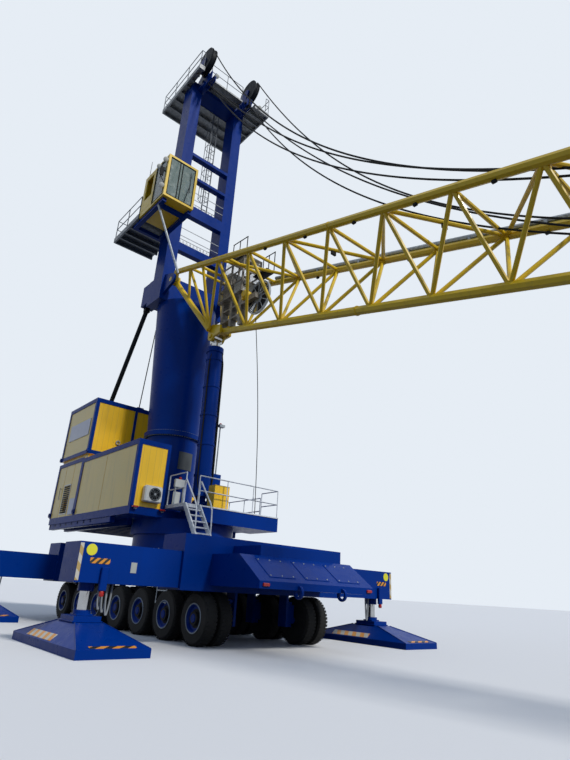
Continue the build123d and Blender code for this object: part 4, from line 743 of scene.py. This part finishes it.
def add_boom_details():
    """Wire panels, guard rails and cables of the service cage, the reel's wound cable, drive and lead down to the
    deck, section flanges and clips."""
    wires = []
    for y in (-0.142, 0.332):
        wires.append(wire_panel((0.56, y, 6.38), (0.83, 0, 0), (0, 0, 0.84), 0.035))
    for x in (0.552, 1.398):
        wires.append(wire_panel((x, -0.14, 6.38), (0, 0.47, 0), (0, 0, 0.84), 0.035))
    guard = [((0.945, -0.14, 7.645), (1.47, -0.14, 7.61)), ((0.96, -0.14, 7.2), (0.96, -0.14, 7.645)),
             ((1.2, -0.14, 7.2), (1.2, -0.14, 7.63)), ((1.46, -0.14, 7.2), (1.46, -0.14, 7.61)),
             ((1.43, 0.33, 7.3), (1.83, 0.33, 7.28)), ((1.44, 0.33, 6.79), (1.44, 0.33, 7.3)),
             ((1.63, 0.33, 6.79), (1.63, 0.33, 7.29)), ((1.82, 0.33, 6.79), (1.82, 0.33, 7.28))]
    place("cage_guard_rails", [rods(guard, 0.011, 6), slab((1.38, 0.12, 6.77), (1.85, 0.35, 6.79), 0.004),
                               slab((0.9, -0.16, 7.18), (1.48, -0.1, 7.21), 0.004)], BLACK, "boom", "dark_steel")
    place("cage_wires", wires, CAGE, "boom", "galvanised")
    loops, s = [], np.linspace(0, 1, 18)
    hung = ((0.7, -0.1, 6.95, 0.5), (0.9, -0.05, 7.0, 0.62), (1.1, 0.1, 6.9, 0.45), (1.25, 0.0, 6.8, 0.4))
    for i, (x, y, z, drop) in enumerate(hung):
        sag = 2 * drop * s * (1 - s) + 0.15 * s
        loops.append(sweep(np.stack([x + 0.22 * s, y + 0.05 * np.sin(3 * s + i), z - sag], -1), 0.012, 6))
    place("cage_cables", loops, HOSE, "boom", "dark_steel")
    boxes = [slab((1.02, -0.08, 6.4), (1.3, 0.25, 6.72), 0.01), slab((0.66, -0.09, 6.84), (0.9, 0.2, 7.02), 0.01)]
    place("cage_boxes", boxes, WHITE, "boom", "galvanised")
    turn = np.linspace(0, 2 * np.pi * REEL_TURNS, REEL_TURNS * 30)
    radius = 0.11 + 0.215 * turn / turn[-1]
    coil = np.stack([1.74 + radius * np.cos(turn), 0.06 + 0.006 * np.sin(5 * turn), 6.12 + radius * np.sin(turn)], -1)
    place("reel_cable", [sweep(coil, 0.0085, 6)], HOSE, "cable_reel", "dark_steel")
    case = [(0.0, -0.1), (0.07, -0.1), (0.085, -0.08), (0.085, 0.04), (0.065, 0.05), (0.065, 0.11), (0.0, 0.12)]
    drive = [barrel(case, (0, 1, 0), 20, (1.5, -0.05, 6.22)), slab((1.4, -0.12, 6.12), (1.58, 0.02, 6.2))]
    place("reel_drive", drive, FINISH["yellow_paint"], "boom", "yellow_paint")
    drop = np.linspace(0, 1, 24)
    tail = np.stack([1.7 - 0.62 * drop + 0.08 * np.sin(np.pi * drop), 0.06 + 0.8 * drop, 5.67 - 3.62 * drop], -1)
    lead = build("reel_tail", *sweep(tail, 0.007, 6), ROPE, None, "dark_steel")
    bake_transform(lead)
    flanges = []
    top, low = (np.array((1, 0, -fall)) / np.hypot(1, fall) for fall in (TOP_FALL, LOW_FALL))
    for x in (4.4, 8.63, 12.86):
        for side in (-1, 1):
            flanges.append(moved(collar(0.04, 0.066, 0.012, top, 20), (x, side * chord_half(x), chord_z(x))))
        flanges.append(moved(collar(0.05, 0.078, 0.012, low, 20), (x, 0, LOW_Z - LOW_FALL * (x - LOW_START))))
    place("section_flanges", flanges, FINISH["yellow_paint"], "boom", "yellow_paint")
    clips = []
    for i in range(13):
        x = 2.8 + i * 1.058
        half, z = chord_half(x), chord_z(x)
        clips.append(slab((x - 0.03, -half - 0.02, z - 0.095), (x + 0.03, -half + 0.02, z - 0.055), 0.004))
        clips.append(slab((x - 0.02, -0.05, z - 0.1), (x + 0.02, 0.05, z - 0.03), 0.004) if i % 2 else
                     slab((x - 0.03, half - 0.02, z - 0.095), (x + 0.03, half + 0.02, z - 0.055), 0.004))
    place("chord_clips", clips, BLACK, "boom", "dark_steel")


add_boom_details()

# ---------------------------------------------------------------- cylinder hoses


LEAN = 0.0243                               # how far the cylinder leans back a metre of height


def add_cylinder_hoses():
    """Three hoses clamped along the luffing cylinder's barrel."""
    pipes = []
    for y, x, radius in ((0.17, 0.06, 0.022), (0.15, 0.12, 0.014), (-0.16, 0.08, 0.014)):
        s = np.linspace(0, 1, 24)
        bend = 0.05 * np.exp(-((s - 1) / 0.06) ** 2) + 0.05 * np.exp(-(s / 0.06) ** 2)
        path = np.stack([0.515 - 0.085 * (0.2 + 3.0 * s) / 3.49 + x, y - np.sign(y) * bend, 2.35 + 2.95 * s], -1)
        pipes.append(sweep(path, radius, 8))
    place("cylinder_pipes", pipes, HOSE, "luffing_barrel", "dark_steel")
    clamps = []
    for z in (2.7, 3.3, 3.9, 4.5, 5.1):
        band = collar(0.159, 0.172, 0.02, (-LEAN, 0, 0.9997), 28)
        clamps.append(moved(band, (0.515 - LEAN * (z - 2.15), 0, z)))
    place("barrel_clamps", clamps, FINISH["blue_paint"], "luffing_barrel", "blue_paint")


add_cylinder_hoses()

# ---------------------------------------------------------------- outriggers


BEAM_X, BEAM_HALF, FOOT_Y = 2.4, 0.25, 2.625    # middle and half width of a beam, and the middle of its foot


def add_outriggers():
    """Warning bars, a lemon disc, lamps, pale hoses, a bracket and a plated sleeve on each outrigger, all as on the
    near one."""
    for end_name, end in (("front", 1), ("rear", -1)):
        for side_name, side in (("right", -1), ("left", 1)):
            tag = f"{end_name}_{side_name}"
            beam, foot = f"outrigger_beam_{tag}", f"jack_foot_{tag}"
            x = end * BEAM_X
            face_x = x + end * BEAM_HALF
            disc = [(0.0, 0.0), (0.064, 0.0), (0.067, 0.002), (0.064, 0.005), (0.0, 0.005)]
            disc = barrel(disc, (end, 0, 0), 32, (face_x, side * 2.735, 1.085))
            build(f"disc_{tag}", *disc, DISC, beam, "yellow_paint")
            bar = facing(panel(0.25, 0.065, 0.004), (end, 0, 0))
            strip = facing(panel(0.045, 0.42, 0.004), (end, 0, 0))
            build(f"arm_bars_{tag}", *moved(bar, (face_x, side * 2.61, 0.965)), TAPE, beam, "yellow_paint")
            build(f"corner_bars_{tag}", *moved(strip, (face_x, side * 2.86, 0.945)), PALE_TAPE, beam, "yellow_paint")
            lamp = facing(panel(0.08, 0.125, 0.0045, 0.5), (end, 0, 0))
            build(f"lamp_{tag}", *moved(lamp, (face_x, side * 2.165, 0.915)), LAMP_GREY, beam, "galvanised")
            dome = [(0.0, -0.03), (0.024, -0.03), (0.03, -0.012), (0.03, 0.012), (0.024, 0.03), (0.0, 0.03)]
            dome = barrel(dome, (0, 0, 1), 16, (face_x + end * 0.025, side * 2.54, 0.6))
            build(f"red_lamp_{tag}", *dome, RED, beam, "yellow_paint")
            reach = sorted((face_x, face_x + end * 0.05))
            bracket = [slab((reach[0], side * 2.54 - 0.045, 0.63), (reach[1], side * 2.54 + 0.045, 0.9), 0.008)]
            place(f"bracket_{tag}", bracket, FINISH["blue_paint"], beam, "blue_paint")
            hoses, s = [], np.linspace(0, 1, 16)
            for k, y in enumerate((2.42, 2.38, 2.34)):
                z = 0.72 - (0.3 + 0.03 * k) * np.sin(np.pi * s) ** 0.6
                path = np.stack([np.full(16, x + end * (0.05 + 0.03 * k)), side * (y + 0.07 * s), z], -1)
                hoses.append(sweep(path, 0.012, 8))
            loops = place(f"jack_hoses_{tag}", hoses, GREY_HOSE, beam, "dark_steel")
            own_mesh(loops)
            sleeve = [(0.055, 0.411), (0.0634, 0.411), (0.0634, 0.7), (0.055, 0.7), (0.055, 0.411)]
            sleeve = barrel(sleeve, (0, 0, 1), 48, (x, side * FOOT_Y, 0))
            build(f"plated_{tag}", *sleeve, FINISH["chrome"], foot, "chrome")
            add_pad_trim(tag, foot, x, side * FOOT_Y)


def add_pad_trim(tag, foot, x, y):
    """Warning bars on the four sloping faces of a pad just above its plinth, weld beads up its corners, and the
    plates under its block. A bar lies along the slope, its normal the cross product of edge and slope."""
    edge, facet = [], []
    for s in (-1, 1):
        bar = facing(panel(0.52, 0.055, 0.004), (s * 0.195, 0, 0.78))
        edge.append(moved(bar, (x + s * 1.0, y, 0.105)))
        bar = facing(panel(0.82, 0.1, 0.004), (0, s * 0.195, 0.25))
        facet.append((bar[0] + (x - 0.16 * np.sign(x), y + s * 0.362, 0.131), bar[1]))
    place(f"pad_edge_bars_{tag}", edge, EDGE_TAPE, foot, "yellow_paint")
    place(f"pad_facet_bars_{tag}", facet, FACET_TAPE, foot, "yellow_paint")
    beads = [((x + a * 1.055, y + b * 0.41, 0.092), (x + a * 0.28, y + b * 0.165, 0.287))
             for a in (-1, 1) for b in (-1, 1)]
    plates = [slab((x - a, y - b, low), (x + a, y + b, high), 0.004)
              for a, b, low, high in ((0.23, 0.18, 0.286, 0.3), (0.1, 0.1, 0.348, 0.37))]
    place(f"pad_beads_{tag}", [rods(beads, 0.007, 6)] + plates, FINISH["blue_paint"], foot, "blue_paint")


add_outriggers()

# ---------------------------------------------------------------- chassis


def add_chassis_details():
    """Bolted covers, plates on the flanks, tow eyes, lamps and side steps, and bolts round the slewing ring."""
    covers, bolts = [], []
    for end in (-1, 1):
        for y in (-0.62, 0.0, 0.62):
            a = np.array((end * 3.325, y, 1.175))
            b = np.array((end * 3.79, y, 0.855))
            middle, run = (a + b) / 2, (b - a)
            normal = np.array((abs(run[2]) * end, 0, abs(run[0])))
            plate = facing(panel(0.44, 0.4, 0.008, 0.4), normal)
            covers.append(moved(plate, middle))
            unit = normal / np.linalg.norm(normal)
            along = run / np.linalg.norm(run)
            head = hexagon_bolt(0.009, unit)
            for s in (-0.17, 0.17):
                for t in (-0.19, 0.0, 0.19):
                    bolts.append(moved(head, middle + along * s + np.array((0, t, 0)) + unit * 0.007))
        for y in (-0.4, 0.4):
            covers.append(moved(collar(0.05, 0.08, 0.018, (0, 1, 0), 20, crown=0.005), (end * 3.79, y, 0.74)))
    for side in (-1, 1):
        for x in np.arange(-1.8, 1.9, 0.6):
            covers.append(slab((x - 0.24, side * 1.053 - 0.006, 0.82), (x + 0.24, side * 1.053 + 0.006, 1.12), 0.005))
    place("chassis_covers", covers, FINISH["blue_paint"], "chassis", "blue_paint")
    ring = spread(hexagon_bolt(0.012, (0, 0, 1)), polar_places(60, 0.91, (0, 0), 1.31))
    place("cover_bolts", bolts + [ring], FINISH["galvanised"], "chassis", "galvanised")
    lamps = [slab((x - 0.015, y - 0.05, 0.79), (x + 0.015, y + 0.05, 0.83), 0.006)
             for x in (-3.8, 3.8) for y in (-0.95, 0.95)]
    place("corner_lamps", lamps, RED, "chassis", "yellow_paint")
    steps = []
    for side in (-1, 1):
        for x in (-1.5, 1.5):
            for k in range(3):
                steps.append(((x - 0.15, side * 1.1, 0.5 + 0.16 * k), (x + 0.15, side * 1.1, 0.5 + 0.16 * k)))
            for dx in (-0.15, 0.15):
                steps.append(((x + dx, side * 1.1, 0.48), (x + dx, side * 1.1, 0.86)))
                steps.append(((x + dx, side * 1.1, 0.86), (x + dx, side * 1.05, 0.86)))
    place("side_steps", [rods(steps, 0.01, 6)], FINISH["galvanised"], "chassis", "galvanised")


add_chassis_details()

# ---------------------------------------------------------------- stage and light


def either(tree, first, second):
    """1 where either of two yes or no values is 1."""
    return node(tree, "ShaderNodeMath", {"operation": "MAXIMUM"}, i0=first, i1=second).outputs[0]


def add_stage():
    """A plain pale floor, a plain pale sky and one soft sun. What is seen straight on, in gloss or through glass is
    pale, and the light that bounces is plainer."""
    bpy.ops.mesh.primitive_plane_add(size=400)
    floor = bpy.context.object
    floor.name = "floor"
    material = bpy.data.materials.new("pale floor")
    material.use_nodes = True
    tree = material.node_tree
    ray = node(tree, "ShaderNodeLightPath")
    direct = either(tree, ray.outputs["Is Camera Ray"], ray.outputs["Is Glossy Ray"])
    shown = either(tree, direct, ray.outputs["Is Transmission Ray"])
    colour = mixed(tree, shown, "5C5E60", "D9DADB")
    surface = tree.nodes["Principled BSDF"]
    tree.links.new(colour, surface.inputs["Base Color"])
    surface.inputs["Roughness"].default_value = 0.9
    floor.data.materials.append(material)
    world = bpy.data.worlds.new("world")
    bpy.context.scene.world = world
    world.use_nodes = True
    t = world.node_tree
    t.nodes.clear()
    seen = node(t, "ShaderNodeLightPath")
    glow = node(t, "ShaderNodeBackground", Color=linear("BDD0EE"), Strength=0.6)
    shown = node(t, "ShaderNodeBackground", Color=linear("E6EDF5"), Strength=1.0)
    mirrored = either(t, seen.outputs["Is Glossy Ray"], seen.outputs["Is Transmission Ray"])
    plain = either(t, seen.outputs["Is Camera Ray"], mirrored)
    pick = node(t, "ShaderNodeMixShader", i0=plain, i1=glow.outputs[0], i2=shown.outputs[0])
    node(t, "ShaderNodeOutputWorld", Surface=pick.outputs[0])
    sun = bpy.data.lights.new("sun", "SUN")
    sun.energy = 2.8
    sun.color = (1.0, 0.97, 0.92)
    sun.angle = math.radians(8)
    lamp = bpy.data.objects.new("sun", sun)
    toward = Vector((0.9, 0.15, 0.75))
    lamp.rotation_euler = toward.to_track_quat("Z", "Y").to_euler()
    bpy.context.scene.collection.objects.link(lamp)


add_stage()
view = bpy.context.scene.view_settings
view.view_transform = "Standard"
